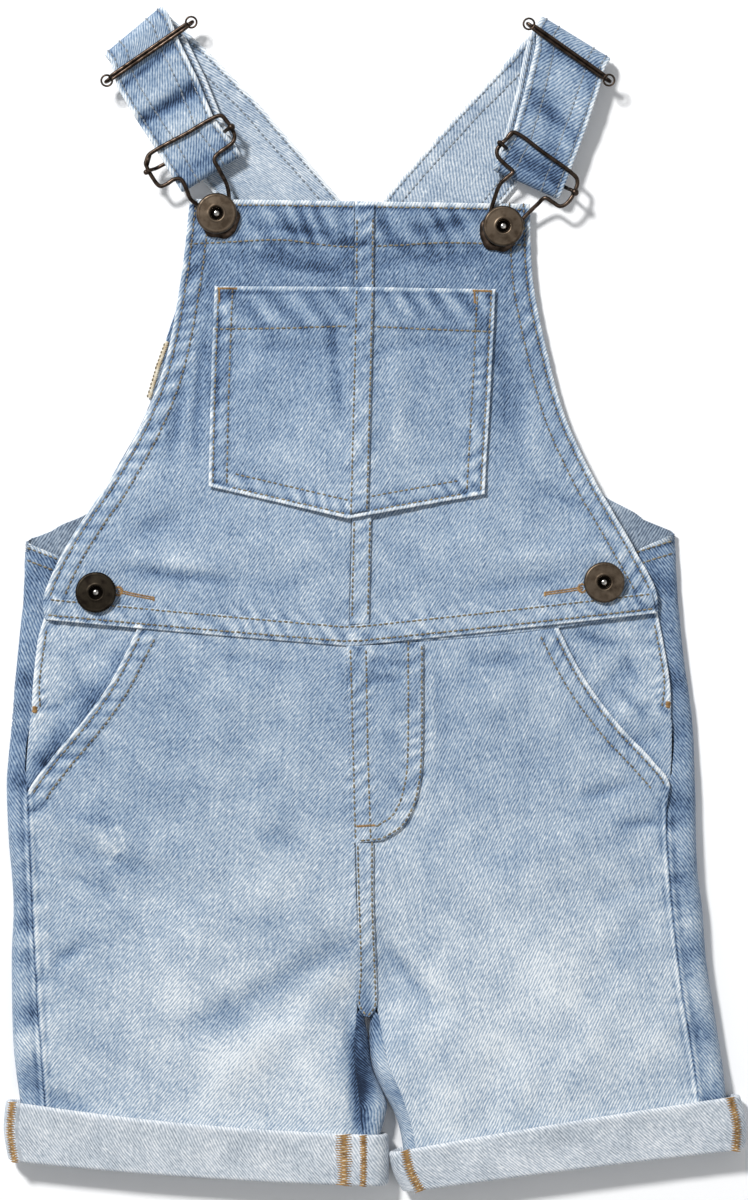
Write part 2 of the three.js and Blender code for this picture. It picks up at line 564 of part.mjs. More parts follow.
// One rim of a cuff runs along the front, round the right end, along the back and round the left end
function cuffGrid({ rims }, acrossFront, roundEnd, along) {
  const grid = [];
  const onTop = denim / 2 + apart + turnUp / 2;
  for (let i = 0; i <= along; i++) {
    const t = i / along;
    const at = (key, axis) => splineAt(rims.map((rim) => rim[key][axis]), t);
    const left = [at('left', 0), at('left', 1)];
    const right = [at('right', 0), at('right', 1)];
    const bow = splineAt(rims.map((rim) => rim.bow), t);
    const drop = splineAt(rims.map((rim) => rim.backDrop), t);
    const low = turnUp / 2;
    const high = (x, y) => lift(x, y) + onTop;
    const radius = (end) => (high(...end) - low) / 2;
    const rl = radius(left);
    const rr = radius(right);
    const from = left[0] + rl + turnUp / 2;
    const to = right[0] - rr - turnUp / 2;
    const lineY = (x, below) => {
      const f = (x - left[0]) / (right[0] - left[0]);
      return left[1] + (right[1] - left[1]) * f + bow * 4 * f * (1 - f) + drop * below * Math.sin(Math.PI * f);
    };
    const line = [];
    for (let j = 0; j < acrossFront; j++) {
      const x = from + ((to - from) * j) / acrossFront;
      line.push(new THREE.Vector3(x, lineY(x, 0), high(x, lineY(x, 0))));
    }
    const endTurn = (centre, way, r, top) => {
      for (let j = 0; j < roundEnd; j++) {
        const turn = (Math.PI * j) / roundEnd;
        const x = centre + way * r * Math.sin(turn);
        const side = top ? turn / Math.PI : 1 - turn / Math.PI;
        line.push(new THREE.Vector3(x, lineY(x, side), low + r * (1 + (top ? 1 : -1) * Math.cos(turn))));
      }
    };
    endTurn(to, 1, (high(to, lineY(to, 0)) - low) / 2, true);
    for (let j = 0; j < acrossFront; j++) {
      const x = to + ((from - to) * j) / acrossFront;
      line.push(new THREE.Vector3(x, lineY(x, 1), low));
    }
    endTurn(from, -1, (high(from, lineY(from, 0)) - low) / 2, false);
    grid.push(line);
  }
  return grid;
}

// The strap's stations in order, each a pair of edge points at one height
function strapStations({ back, shoulder, front, bottom, under }) {
  const stations = back.map((row) => ({ ...row, z: strapHeight.back }));
  const fold = (line, z0, z1, before, steps) => {
    const r = (z1 - z0) / 2;
    const reach = Math.abs(r) + denim / 2;
    for (let k = 0; k <= steps; k++) {
      const turn = (Math.PI * k) / steps;
      const inset = reach - Math.abs(r) * Math.sin(turn);
      const shifted = (key) => {
        const other = key === 'outer' ? 'inner' : 'outer';
        const across = [line[other][0] - line[key][0], line[other][1] - line[key][1]];
        const length = Math.hypot(...across);
        const normal = [-across[1] / length, across[0] / length];
        const towards = (before[0] - line[key][0]) * normal[0] + (before[1] - line[key][1]) * normal[1];
        const sign = Math.sign(towards);
        return [line[key][0] + sign * normal[0] * inset, line[key][1] + sign * normal[1] * inset];
      };
      stations.push({ outer: shifted('outer'), inner: shifted('inner'), z: z0 + r * (1 - Math.cos(turn)) });
    }
  };
  fold(shoulder, strapHeight.back, strapHeight.front, front[0].outer, 5);
  stations.push(...front.map((row) => ({ ...row, z: strapHeight.front })));
  fold(bottom, strapHeight.front, strapHeight.under, front[front.length - 1].outer, 4);
  stations.push(...under.map((row) => ({ ...row, z: strapHeight.under })));
  return stations;
}
function strapGrid(strap, across) {
  return strapStations(strap).map(({ outer, inner, z }) => {
    const line = [];
    const a = new THREE.Vector3(...outer, z);
    const b = new THREE.Vector3(...inner, z);
    for (let j = 0; j <= across; j++) line.push(a.clone().lerp(b, j / across));
    return line;
  });
}

// A closed wall of even thickness round a grid; ring joins the last column to the first
function wall(grid, thick, ring = false) {
  const rows = grid.length;
  const columns = grid[0].length;
  const next = (j) => (ring ? (j + 1) % columns : Math.min(j + 1, columns - 1));
  const last = (j) => (ring ? (j + columns - 1) % columns : Math.max(j - 1, 0));
  const positions = [];
  for (const side of [1, -1]) {
    for (let i = 0; i < rows; i++) {
      for (let j = 0; j < columns; j++) {
        const along = grid[Math.min(i + 1, rows - 1)][j].clone().sub(grid[Math.max(i - 1, 0)][j]);
        const across = grid[i][next(j)].clone().sub(grid[i][last(j)]);
        const normal = across.cross(along).normalize().multiplyScalar((side * thick) / 2);
        const p = grid[i][j].clone().add(normal);
        positions.push(p.x, p.y, p.z);
      }
    }
  }
  const id = (side, i, j) => side * rows * columns + i * columns + j;
  const faces = [];
  const quad = (a, b, c, d) => faces.push(a, b, c, a, c, d);
  const lastColumn = ring ? columns : columns - 1;
  for (let i = 0; i < rows - 1; i++) {
    for (let j = 0; j < lastColumn; j++) {
      const k = next(j);
      quad(id(0, i, j), id(0, i, k), id(0, i + 1, k), id(0, i + 1, j));
      quad(id(1, i, j), id(1, i + 1, j), id(1, i + 1, k), id(1, i, k));
    }
  }
  for (let j = 0; j < lastColumn; j++) {
    const k = next(j);
    quad(id(1, 0, j), id(1, 0, k), id(0, 0, k), id(0, 0, j));
    quad(id(0, rows - 1, j), id(0, rows - 1, k), id(1, rows - 1, k), id(1, rows - 1, j));
  }
  if (!ring) {
    const end = columns - 1;
    for (let i = 0; i < rows - 1; i++) {
      quad(id(0, i, 0), id(0, i + 1, 0), id(1, i + 1, 0), id(1, i, 0));
      quad(id(1, i, end), id(1, i + 1, end), id(0, i + 1, end), id(0, i, end));
    }
  }
  const geometry = new THREE.BufferGeometry();
  geometry.setAttribute('position', new THREE.Float32BufferAttribute(positions, 3));
  geometry.setIndex(volume(positions, faces) > 0 ? faces : faces.slice().reverse());
  geometry.computeVertexNormals();
  return geometry;
}

// Signed volume, positive where the faces point out
function volume(positions, faces) {
  const at = (k) => new THREE.Vector3().fromArray(positions, 3 * k);
  let sum = 0;
  for (let k = 0; k < faces.length; k += 3) {
    sum += at(faces[k]).dot(at(faces[k + 1]).cross(at(faces[k + 2])));
  }
  return sum / 6;
}

// Round wire along a curve
function wireAlong(curve, radius, steps, sides) {
  const section = new THREE.Shape();
  section.absarc(0, 0, radius, 0, 2 * Math.PI);
  return new THREE.ExtrudeGeometry(section, {
    extrudePath: curve, steps, curveSegments: sides, bevelEnabled: false,
  });
}

function buckleCurve({ knob, path }) {
  const { x, y } = buttons[knob];
  const onBib = lift(x, y) + denim / 2 + apart + wire;
  const points = path.map((row) => new THREE.Vector3(row.x, row.y, onBib + (overStrap - onBib) * row.over));
  return new THREE.CatmullRomCurve3(points, false, 'centripetal');
}

// The slider's wire passes over the strap, turns at each end and comes back under it
function sliderCurve({ from, to }) {
  const start = new THREE.Vector3(...from, overStrap);
  const end = new THREE.Vector3(...to, overStrap);
  const along = end.clone().sub(start).normalize();
  const turn = (overStrap - barHeight) / 2;
  const down = new THREE.Vector3(0, 0, -turn);
  const under = new THREE.Vector3(0, 0, barHeight - overStrap);
  const half = start.clone().lerp(end, 0.5);
  const mouth = along.clone().multiplyScalar(0.5);
  const points = [half.clone().add(under).add(mouth), end.clone().add(under)];
  points.push(end.clone().add(down).addScaledVector(along, turn), end);
  for (const f of [0.1, 0.5, 0.9]) points.push(end.clone().lerp(start, f));
  points.push(start);
  points.push(start.clone().add(down).addScaledVector(along, -turn), start.clone().add(under));
  points.push(half.clone().add(under).sub(mouth));
  return new THREE.CatmullRomCurve3(points, false, 'centripetal');
}

function barGeometry({ from, to }) {
  const length = Math.hypot(to[0] - from[0], to[1] - from[1]);
  const { ball, neck, facets } = barEnd;
  const half = [[0, -ball]];
  for (let k = 1; k < facets; k++) {
    const turn = -Math.PI / 2 + (k * Math.PI) / (facets + 0.4);
    half.push([ball * Math.cos(turn), ball * Math.sin(turn)]);
  }
  half.push([wire, neck]);
  const profile = half.map(([r, z]) => new THREE.Vector2(r, z));
  profile.push(...half.reverse().map(([r, z]) => new THREE.Vector2(r, length - z)));
  return new THREE.LatheGeometry(profile, 10);
}

function buttonGeometry({ stand }) {
  const { disc, thick, shank, bevel, rim, rimWide, recess, deep, pin, dome } = button;
  const top = stand + thick;
  const profile = [
    [0, 0], [shank, 0], [shank, stand], [disc - bevel, stand], [disc, stand + bevel], [disc, top - rim],
    [disc - rim, top + rim], [disc - rimWide, top + rim], [disc - rimWide - rim, top],
    [recess + bevel, top + dome], [recess, top - deep], [pin, top - deep], [pin - bevel, top - dome], [0, top],
  ];
  return new THREE.LatheGeometry(profile.map(([r, z]) => new THREE.Vector2(r, z)), 20);
}

// The whole garment
const garment = new THREE.Group();
function add(name, geometry, look) {
  const mesh = new THREE.Mesh(geometry, new THREE.MeshStandardMaterial(finish[look]));
  mesh.name = name;
  garment.add(mesh);
  return mesh;
}
const onFront = (x, y) => lift(x, y);
const underPocketEdge = (x, y) => lift(x, y) - denim - apart;
const onPanel = (x, y) => lift(x, y) + denim / 2 + apart + band / 2;
const bulge = (x) => pocketBulge.rise * Math.exp(-(((x - pocketBulge.x) / pocketBulge.wide) ** 2));
const onBib = (x, y) => lift(x, y) + denim + apart + bulge(x);
const onPocket = (x, y) => onBib(x, y) + denim / 2 + apart + band / 2;
const sideStrip = (x, y) => lift(x, y) - stripDrop(y);

const sideFoldLeft = makeFold(leftEdge, -1, sideStrip);
const sideFoldRight = makeFold(rightEdge, 1, sideStrip);
const inseamFoldLeft = makeFold(leftInseam, 1, lift);
const inseamFoldRight = makeFold(rightInseam, -1, lift);
// A seam's line and how far it reaches; gap keeps this panel's edge clear of its neighbour's
const seamOn = (rows, gap, top = rows[0].y, foot = -250) => ({ line: column(rows, 'x'), gap, top, foot });
const pocketFoot = -80;
add('back_left', wall(backPanel(backLeftRows, { inseam: inseamFoldLeft, side: sideFoldLeft }, {
  inner: seamOn(leftLegSeam, halfInseam), outer: seamOn(leftSideSeam, -halfSeam, -72),
}, 22), denim), 'denimBack');
add('back_right', wall(backPanel(backRightRows, { inseam: inseamFoldRight, side: sideFoldRight }, {
  inner: seamOn(rightLegSeam, -halfInseam), outer: seamOn(rightSideSeam, halfSeam, -72),
}, 22), denim), 'denimBack');

add('front_left', wall(spread(frontLeftRows, 14, 18, onFront, {
  a: seamOn(leftSideSeam, halfSeam, pocketFoot), b: seamOn(leftLegSeam, -halfInseam),
}), denim), 'denimFront');
add('front_right', wall(spread(frontRightRows, 14, 18, onFront, {
  a: seamOn(rightLegSeam, halfInseam), b: seamOn(rightSideSeam, -halfSeam, pocketFoot),
}), denim), 'denimFront');
add('hip_facing_left', wall(spread(facingLeftRows, 4, 8, underPocketEdge, {
  a: seamOn(leftSideSeam, halfSeam),
}), denim), 'denimFront');
add('hip_facing_right', wall(spread(facingRightRows, 4, 8, underPocketEdge, {
  b: seamOn(rightSideSeam, -halfSeam),
}), denim), 'denimFront');
add('bib_left', wall(spread(bibLeftRows, 8, 12, onFront), denim), 'denimFront');
add('bib_right', wall(spread(bibRightRows, 8, 12, onFront), denim), 'denimFront');
add('bib_pocket', wall(spread(pocketRows, 8, 6, onBib), denim), 'denimFront');
add('waist_seam', wall(spread(waistRows, 20, 1, onPanel), band), 'denimSeam');
add('bib_seam', wall(spread(bibSeamRows, 1, 12, onPanel), band), 'denimSeam');
add('pocket_seam', wall(spread(pocketSeamRows, 1, 8, onPocket), band), 'denimSeam');
add('front_seam', wall(spread(frontSeamRows, 1, 6, onPanel), band), 'denimSeam');
add('fly', wall(spread(flyRows, 3, 10, onPanel), band), 'denimSeam');

for (const [name, cuff] of Object.entries(cuffs)) {
  add(name, wall(cuffGrid(cuff, 12, 5, 3), turnUp, true), 'denimInside');
}
for (const [name, strap] of Object.entries(straps)) {
  add(name, wall(strapGrid(strap, 3), denim), 'denimFront');
}
for (const [name, place] of Object.entries(buttons)) {
  const mesh = add(name, buttonGeometry(place), 'antiqueBrass');
  mesh.rotation.x = Math.PI / 2;
  mesh.position.set(place.x, place.y, lift(place.x, place.y) + denim / 2 + apart);
}
for (const [name, buckle] of Object.entries(buckles)) {
  add(name, wireAlong(buckleCurve(buckle), wire, 52, 3), 'darkWire');
}
for (const [name, bar] of Object.entries(bars)) {
  const mesh = add(name, barGeometry(bar), 'darkWire');
  mesh.position.set(...bar.from, barHeight);
  mesh.rotation.z = Math.atan2(bar.to[1] - bar.from[1], bar.to[0] - bar.from[0]) - Math.PI / 2;
}
for (const [name, slider] of Object.entries(sliders)) {
  add(name, wireAlong(sliderCurve(slider), wire, 30, 3), 'darkWire');
}

export default garment;
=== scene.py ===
import math

import bpy
import numpy as np
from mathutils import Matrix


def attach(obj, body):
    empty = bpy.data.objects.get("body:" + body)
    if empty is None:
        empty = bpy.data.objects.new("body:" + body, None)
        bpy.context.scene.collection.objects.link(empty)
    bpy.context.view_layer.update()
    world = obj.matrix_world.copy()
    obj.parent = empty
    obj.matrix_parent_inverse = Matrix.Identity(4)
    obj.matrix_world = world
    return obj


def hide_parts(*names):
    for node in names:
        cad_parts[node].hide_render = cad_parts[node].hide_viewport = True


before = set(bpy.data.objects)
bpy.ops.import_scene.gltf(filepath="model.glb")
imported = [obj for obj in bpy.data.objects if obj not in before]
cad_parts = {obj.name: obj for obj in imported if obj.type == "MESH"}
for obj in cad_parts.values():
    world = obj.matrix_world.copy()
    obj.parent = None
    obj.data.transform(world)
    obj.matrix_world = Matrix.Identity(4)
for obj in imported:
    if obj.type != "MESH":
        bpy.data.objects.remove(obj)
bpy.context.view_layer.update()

# A small child's denim shortalls laid flat, dressed over the solids of the frame. Sizes here are
# millimetres, and a mesh turns to metres when it is made. Left and right are as seen from above.
metre = 0.001

# The picture: width and height in pixels, and how many millimetres one of them covers at the cloth
view = {"wide": 748, "high": 1200, "pixel": 0.41, "x": -0.4, "y": -0.8, "clothHeight": 8, "distance": 1800}
studio = {"floor": "FFFFFF", "key": 78.0, "fill": 3.5, "world": 0.36}


def linear(hexColour):
    parts = [int(hexColour[i:i + 2], 16) / 255 for i in (0, 2, 4)]
    return [c / 12.92 if c <= 0.04045 else ((c + 0.055) / 1.055) ** 2.4 for c in parts] + [1.0]


def addNode(tree, kind, sockets=None, stops=None, **settings):
    node = tree.nodes.new(kind)
    for name, value in settings.items():
        setattr(node, name, value)
    for number, (place, colour) in enumerate(stops or []):
        elements = node.color_ramp.elements
        element = elements[number] if number < 2 else elements.new(place)
        element.position, element.color = place, linear(colour)
    for socket, value in (sockets or {}).items():
        if isinstance(value, bpy.types.Node):
            tree.links.new(value.outputs[0], node.inputs[socket])
        elif isinstance(value, bpy.types.NodeSocket):
            tree.links.new(value, node.inputs[socket])
        else:
            node.inputs[socket].default_value = value
    return node


def newMaterial(name):
    material = bpy.data.materials.new(name)
    material.use_nodes = True
    material.node_tree.nodes.clear()
    return material, material.node_tree


def makeCamera():
    data = bpy.data.cameras.new("camera")
    data.sensor_fit = "VERTICAL"
    data.sensor_height = 36
    data.lens = data.sensor_height * view["distance"] / (view["high"] * view["pixel"])
    data.clip_end = 20
    camera = bpy.data.objects.new("camera", data)
    height = view["clothHeight"] + view["distance"]
    camera.location = [view["x"] * metre, view["y"] * metre, height * metre]
    bpy.context.scene.collection.objects.link(camera)
    bpy.context.scene.camera = camera


def makeLight(name, place, size, power):
    data = bpy.data.lights.new(name, "AREA")
    data.shape = "DISK"
    data.size = size
    data.energy = power
    light = bpy.data.objects.new(name, data)
    light.location = place
    towards = -light.location
    light.rotation_euler = towards.to_track_quat("-Z", "Y").to_euler()
    bpy.context.scene.collection.objects.link(light)


def makeStudio():
    scene = bpy.context.scene
    scene.view_settings.view_transform = "Standard"
    makeLight("keyLight", (-1.15, 1.5, 2.1), 0.42, studio["key"])
    makeLight("fillLight", (0.9, -0.5, 1.9), 1.6, studio["fill"])
    world = bpy.data.worlds.new("studio")
    world.use_nodes = True
    world.node_tree.nodes["Background"].inputs["Color"].default_value = linear("F6F8FB")
    world.node_tree.nodes["Background"].inputs["Strength"].default_value = studio["world"]
    scene.world = world
    # matt painted board: no gloss, so the garment lies on an even pale ground
    material, tree = newMaterial("mattPaintedBoard")
    grain = addNode(tree, "ShaderNodeTexNoise", {"Scale": 60.0, "Detail": 3.0})
    bump = addNode(tree, "ShaderNodeBump", {"Height": grain, "Strength": 0.05, "Distance": 0.0005})
    surface = addNode(tree, "ShaderNodeBsdfPrincipled",
                      {"Base Color": linear(studio["floor"]), "Roughness": 0.95, "Normal": bump})
    addNode(tree, "ShaderNodeOutputMaterial", {"Surface": surface})
    data = bpy.data.meshes.new("floor")
    far, drop = 3.0, -0.0002
    data.from_pydata([(-far, -far, drop), (far, -far, drop), (far, far, drop), (-far, far, drop)], [],
                     [(0, 1, 2, 3)])
    data.materials.append(material)
    floor = bpy.data.objects.new("floor", data)
    scene.collection.objects.link(floor)


makeCamera()
makeStudio()
print("camera, lights and floor made")

# Cloth and hardware sizes, as in the solids
cloth = {"denim": 1.2, "band": 1.0, "turnUp": 2.6, "apart": 0.3, "halfSeam": -0.2, "halfInseam": -0.2,
         "insideEdge": 4, "betweenLegs": 5, "rampFrom": 18, "rampTo": 5, "step": 1.25,
         "stepUpBack": 2.15, "stepOverBack": 1.95}
crotch = {"x": -3.6, "y": -165, "dip": 5.0, "wide": 16, "tall": 22, "above": 12}
pocketBulge = {"x": -6, "rise": 1.4, "wide": 24}
onFloor = cloth["denim"] / 2


def table(names, *rows):
    columns = np.array([list(row) + [0] * (len(names.split()) - len(row)) for row in rows], float).T
    return dict(zip(names.split(), columns))


# Height of the front's mid surface across the body
frontRows = table(
    "y middle edge centre half", (165, 6.4, 3.6, -6.5, 70), (90, 7.6, 3.8, -7.5, 82),
    (50, 8.3, 5.6, -9, 100), (15, 9, 7.9, -10, 120), (-10, 9.4, 8.6, -10, 127), (-45, 9.8, 9.2, -10, 132),
    (-150, 10.1, 9.4, -8, 132), (-245, 11, 10, -2, 140))
# The largest soft folds, which the solids have too
folds = table(
    "x0 y0 x1 y1 rise wide", (2, -138, 24, -168, -1, 7), (-14, -142, -34, -166, -0.7, 7),
    (-74, -132, -56, -190, 0.9, 13), (62, -126, 84, -186, 0.9, 13), (-118, -92, -70, -112, 0.7, 9),
    (98, -92, 52, -116, 0.7, 9), (-40, -196, -30, -222, -0.8, 8), (52, -190, 44, -216, -0.8, 8),
    (-92, 26, -66, 40, -0.6, 9), (74, 28, 50, 38, -0.6, 9))

# Outlines, inseams and side seams, each as x for a y
leftEdge = table(
    "y x", (24, -143.9), (0, -144.6), (-25, -147.2), (-50, -149.2), (-75, -151.3), (-97, -150.6),
    (-124, -148.5), (-150, -149.2), (-185, -148.4), (-207, -145.6), (-230, -145))
rightEdge = table(
    "y x", (24, 123.4), (0, 124.6), (-25, 127.1), (-50, 130.4), (-79, 131.6), (-111, 132.4), (-128, 134.5),
    (-148, 135.9), (-173, 139.8), (-198, 143.5), (-222, 145))
leftInseam = table(
    "y x", (-150, 8), (-165, -3.6), (-184, -2.3), (-193, -1), (-203, 3.4), (-208, 5), (-214, 3.8),
    (-220, 2.3), (-240, 2.2))
rightInseam = table(
    "y x", (-150, -14.6), (-165, -3.4), (-184, -2.3), (-193, -0.9), (-203, 3.6), (-208, 6.4), (-214, 9),
    (-220, 10.6), (-240, 13.4))
leftSideSeam = table(
    "y x", (-50, -141.2), (-70, -142.8), (-88, -142.3), (-111, -141), (-136, -139.8), (-159, -138.6),
    (-180, -137.1), (-204, -135.3), (-230, -134.4))
rightSideSeam = table(
    "y x", (-50, 121.6), (-68, 121.3), (-90, 119.3), (-110, 120.2), (-136, 122.6), (-153, 124.6),
    (-171, 127.2), (-190, 130.4), (-206, 133), (-226, 134.9))
leftLegSeam = table("y x", (-169, -7.4), (-180, -8.2), (-190, -8), (-203, -6.6), (-215, -5.6), (-236, -5.3))
rightLegSeam = table("y x", (-169, 1.2), (-184, 4), (-192, 5.8), (-204, 11.2), (-222, 16.2), (-240, 18.2))
stripRows = table("y drop", (-40, 3.1), (-58, 3.1), (-76, 1.5), (-84, 1.4), (-106, 0))

# Cut lines of the flat panels from the hem upwards: from a to b, with a bow between them
panelWords = "ax ay bx by bow"
frontLeftRows = table(
    panelWords, (-134.5, -226.3, -5.3, -235.3, -1.5), (-135.3, -203.8, -5.5, -214.8, -1),
    (-137.1, -180, -7, -190), (-138.6, -158.7, -7.2, -168.9), (-139.8, -136.1, -5.5, -150.5),
    (-141, -111.5, -7.4, -123.8), (-142.3, -92, -8, -99.6), (-142.3, -79.9, -8.6, -82.4),
    (-132.4, -65.6, -9.2, -71.3), (-123.4, -54.9, -9.8, -60.3), (-115.6, -45.1, -10.2, -49.2),
    (-107.4, -32.8, -10.7, -36.9), (-96.8, -11.7, -11.2, -18.7))
frontRightRows = table(
    panelWords, (17.8, -238.6, 134.9, -224.3, -1), (15.8, -222.2, 133.7, -204.6, -1),
    (10.9, -204, 130, -193.9), (4.9, -190, 128.6, -178), (1, -169, 124, -152.9),
    (-4.5, -150.5, 122.6, -136), (-6.8, -123.8, 120.7, -111.5), (-7.2, -101, 119.3, -92),
    (-7.8, -84, 120.8, -76.6), (-8.4, -71.3, 113.6, -66.4), (-9.4, -53, 98.8, -50.4),
    (-9.8, -35, 85.7, -32.4), (-10.4, -18.7, 75, -12.2, -1.45))
facingLeftRows = table(
    panelWords, (-141.9, -82, -130, -82.8), (-142.7, -70.5, -122.6, -72.6), (-141, -48.8, -107.8, -53.3),
    (-140.2, -35.3, -99.2, -40.2), (-138.2, -17.2, -91.4, -23.4), (-135.7, -8.2, -88.1, -11.8))
facingRightRows = table(
    panelWords, (108.6, -82.8, 119.7, -79.9), (100.4, -73, 121.4, -66.4), (88.1, -56.2, 121.4, -48.8),
    (78.7, -41.8, 120.9, -34.4), (70.5, -25.4, 118.1, -17.2), (67.6, -11.6, 115.6, -5))
bibLeftRows = table(
    panelWords, (-135.3, -8.8, -10.2, -18.9), (-135.7, 0.8, -10.2, -0.8), (-128.3, 18, -9.8, 16.4),
    (-117.7, 35.3, -9.4, 34), (-108.6, 48.4, -9.2, 48.4), (-95.1, 73, -8.8, 73), (-86, 98, -8.6, 98),
    (-79.9, 130, -8.4, 130), (-75.8, 164, -8.2, 162.8))
bibRightRows = table(
    panelWords, (-9.4, -18.9, 116, -5.5, -2.8), (-9.4, -0.8, 114.8, 4.1, -1.4), (-9, 16.4, 106.6, 19.7),
    (-8.6, 34, 97.2, 36.1), (-8.4, 48.4, 90.2, 48.4), (-8, 73, 78.7, 73), (-7.8, 98, 71.5, 98),
    (-7.6, 130, 65, 130), (-7.4, 162.8, 63.5, 161.9))
bibSeamRows = table(panelWords, (-10.4, -11, -2.4, -10.6), (-9.2, 48, -1.2, 48), (-8.2, 161.8, -0.2, 161.8))
pocketSeamRows = table(panelWords, (-10.7, 34.4, -2.7, 35.8), (-8.4, 126.6, -0.4, 126.4))
frontSeamRows = table(
    panelWords, (-4.6, -171.5, -2.2, -172), (-7.2, -166, 0.9, -166.6), (-6.5, -152, 0.6, -152),
    (-7.2, -126, -0.4, -126), (-7.9, -100.3, -0.4, -100.3))
flyRows = table(
    panelWords, (-9, -100.6, 3, -99.2), (-9.1, -96, 10.4, -94.6), (-9.4, -90, 14.6, -89),
    (-9.6, -80, 17.8, -80), (-10.2, -64, 19.7, -64), (-11.7, -19.6, 19.9, -18.6))
middleWords = "ax ay mx my bx by bow"
pocketRows = table(
    middleWords, (-68.1, 45.7, -10.9, 32.4, 45, 42.5), (-68, 56, -10.7, 48, 45.6, 54),
    (-67.2, 90, -9.6, 86, 47.6, 89), (-65.8, 128, -8.3, 127.4, 49.5, 126.7))
waistRows = table(
    middleWords, (-134.7, -8.2, -9.8, -18.3, 115.2, -5, -1), (-133, 0.2, -9.8, -10.2, 113.4, 2.6, -1))

# The back panels, cut flat: the inner end is the centre back and the inseam, the outer one the side.
# Ends that wrap are given where they lie once the cloth has come round to the front
backWords = "ix iy ox oy innerWraps outerWraps"
backLeftRows = table(
    backWords, (-4.9, -235.3, -134.9, -226.3, 1, 1), (-5.1, -214.8, -135.7, -203.8, 1, 1),
    (-6.6, -190, -137.5, -180, 1, 1), (-6.8, -170, -139, -158.7, 1, 1), (-4.2, -160, -140, -140, 0, 1),
    (-5, -124, -141.4, -111.5, 0, 1), (-5.3, -98, -142.8, -90, 0, 1), (-5.3, -76, -143.4, -70, 0, 1),
    (-5.3, -56, -141.2, -54, 0, 1), (-5.3, -44, -130, -42, 0, 1), (-5.3, -20, -126, -20, 0, 1),
    (-5.3, 8, -127, 4, 0, 1), (-5.3, 30, -129.7, 17.2, 0, 1), (-5.3, 50, -132, 28),
    (-5.3, 68, -116.8, 36.1), (-5.3, 84, -107, 52.5), (-5.3, 104, -93.5, 78), (-5.3, 126, -85.5, 108),
    (-5.4, 141, -74, 137), (-5.7, 153.3, -60.3, 157.4))
backRightRows = table(
    backWords, (17.2, -238.6, 135.3, -224.3, 1, 1), (15.2, -222.2, 134.1, -204.6, 1, 1),
    (10.3, -204, 130.6, -193.9, 1, 1), (4.3, -190, 129, -178, 1, 1), (0.4, -170, 124.4, -152.9, 1, 1),
    (-3.4, -160, 122.8, -134, 0, 1), (-4.4, -124, 121.2, -110, 0, 1), (-4.7, -98, 120, -90, 0, 1),
    (-4.7, -76, 121.8, -70, 0, 1), (-4.7, -56, 121.6, -54, 0, 1), (-4.7, -44, 110.5, -42, 0, 1),
    (-4.7, -20, 106, -20, 0, 1), (-4.7, 8, 107, 6, 0, 1), (-4.7, 30, 108.6, 20.2, 0, 1),
    (-4.7, 50, 110, 32.5), (-4.7, 68, 92.2, 43.9), (-4.7, 84, 84, 61), (-4.7, 104, 73.8, 83.2),
    (-4.7, 126, 68.5, 110), (-4.7, 141, 59.5, 140), (-5, 153.3, 49.2, 156.6))

# Cuffs: the outermost ends of three rims, the sag between them and how far the back hangs lower
cuffWords = "lx ly rx ry bow backDrop"
cuffRows = {
    "cuff_left": table(
        cuffWords, (-151.4, -205.6, 5.5, -219.6, -2.6, 0), (-152.3, -218, 5.8, -230, -2.4, -0.6),
        (-150.4, -230.2, 5.5, -240.6, -1.6, -1.6)),
    "cuff_right": table(
        cuffWords, (5.2, -227, 149.6, -203.6, 0.8, 0), (7.4, -235.4, 152.3, -214.6, 0.6, 0),
        (11.4, -243.2, 152, -225.6, 0.6, 0)),
}

# Straps: outer and inner edge points from the back seam up to the shoulder, then down to the buckle
strapHeight = {"back": onFloor, "front": 9.0, "under": 5.4}
stationWords = "ox oy nx ny"
straps = {
    "strap_left": {
        "back": table(
            stationWords, (-60, 158.7, -6.6, 154.6), (-70.5, 171.4, -24, 175.6), (-88.1, 194, -48, 203.6),
            (-99.4, 208, -68.6, 225)),
        "shoulder": table(stationWords, (-111.3, 223.4, -87.7, 243.2)),
        "front": table(
            stationWords, (-105.6, 209.1, -80.2, 228.4), (-98.4, 197, -73, 213.6),
            (-90.2, 184.5, -66.4, 197.4)),
        "bottom": table(stationWords, (-79, 166.2, -54.7, 181.6)),
        "under": table(
            stationWords, (-88.4, 184.5, -63, 197.4), (-96.4, 197, -69.6, 213.6),
            (-104.6, 211.6, -78.4, 231.4)),
    },
    "strap_right": {
        "back": table(
            stationWords, (48.8, 158.3, -4, 154.6), (57.8, 169.3, 8.6, 170.2), (75.8, 193.5, 32.6, 197.6),
            (86.4, 207.6, 52.4, 218.8)),
        "shoulder": table(stationWords, (96.9, 221.6, 68.7, 239)),
        "front": table(
            stationWords, (92.4, 210, 66, 226.5), (86.6, 192.4, 61.6, 208.6), (80.6, 176.4, 56.8, 191.5)),
        "bottom": table(stationWords, (75.4, 163.4, 48.2, 175.6)),
        "under": table(
            stationWords, (78.2, 176.4, 53.6, 191.5), (83.6, 192.4, 58.2, 208.6), (90.4, 213, 62.6, 229.4)),
    },
}


def hermite(p, q, m, n, f):
    f2, f3 = f * f, f * f * f
    return p * (2 * f3 - 3 * f2 + 1) + m * (f3 - 2 * f2 + f) + q * (3 * f2 - 2 * f3) + n * (f3 - f2)


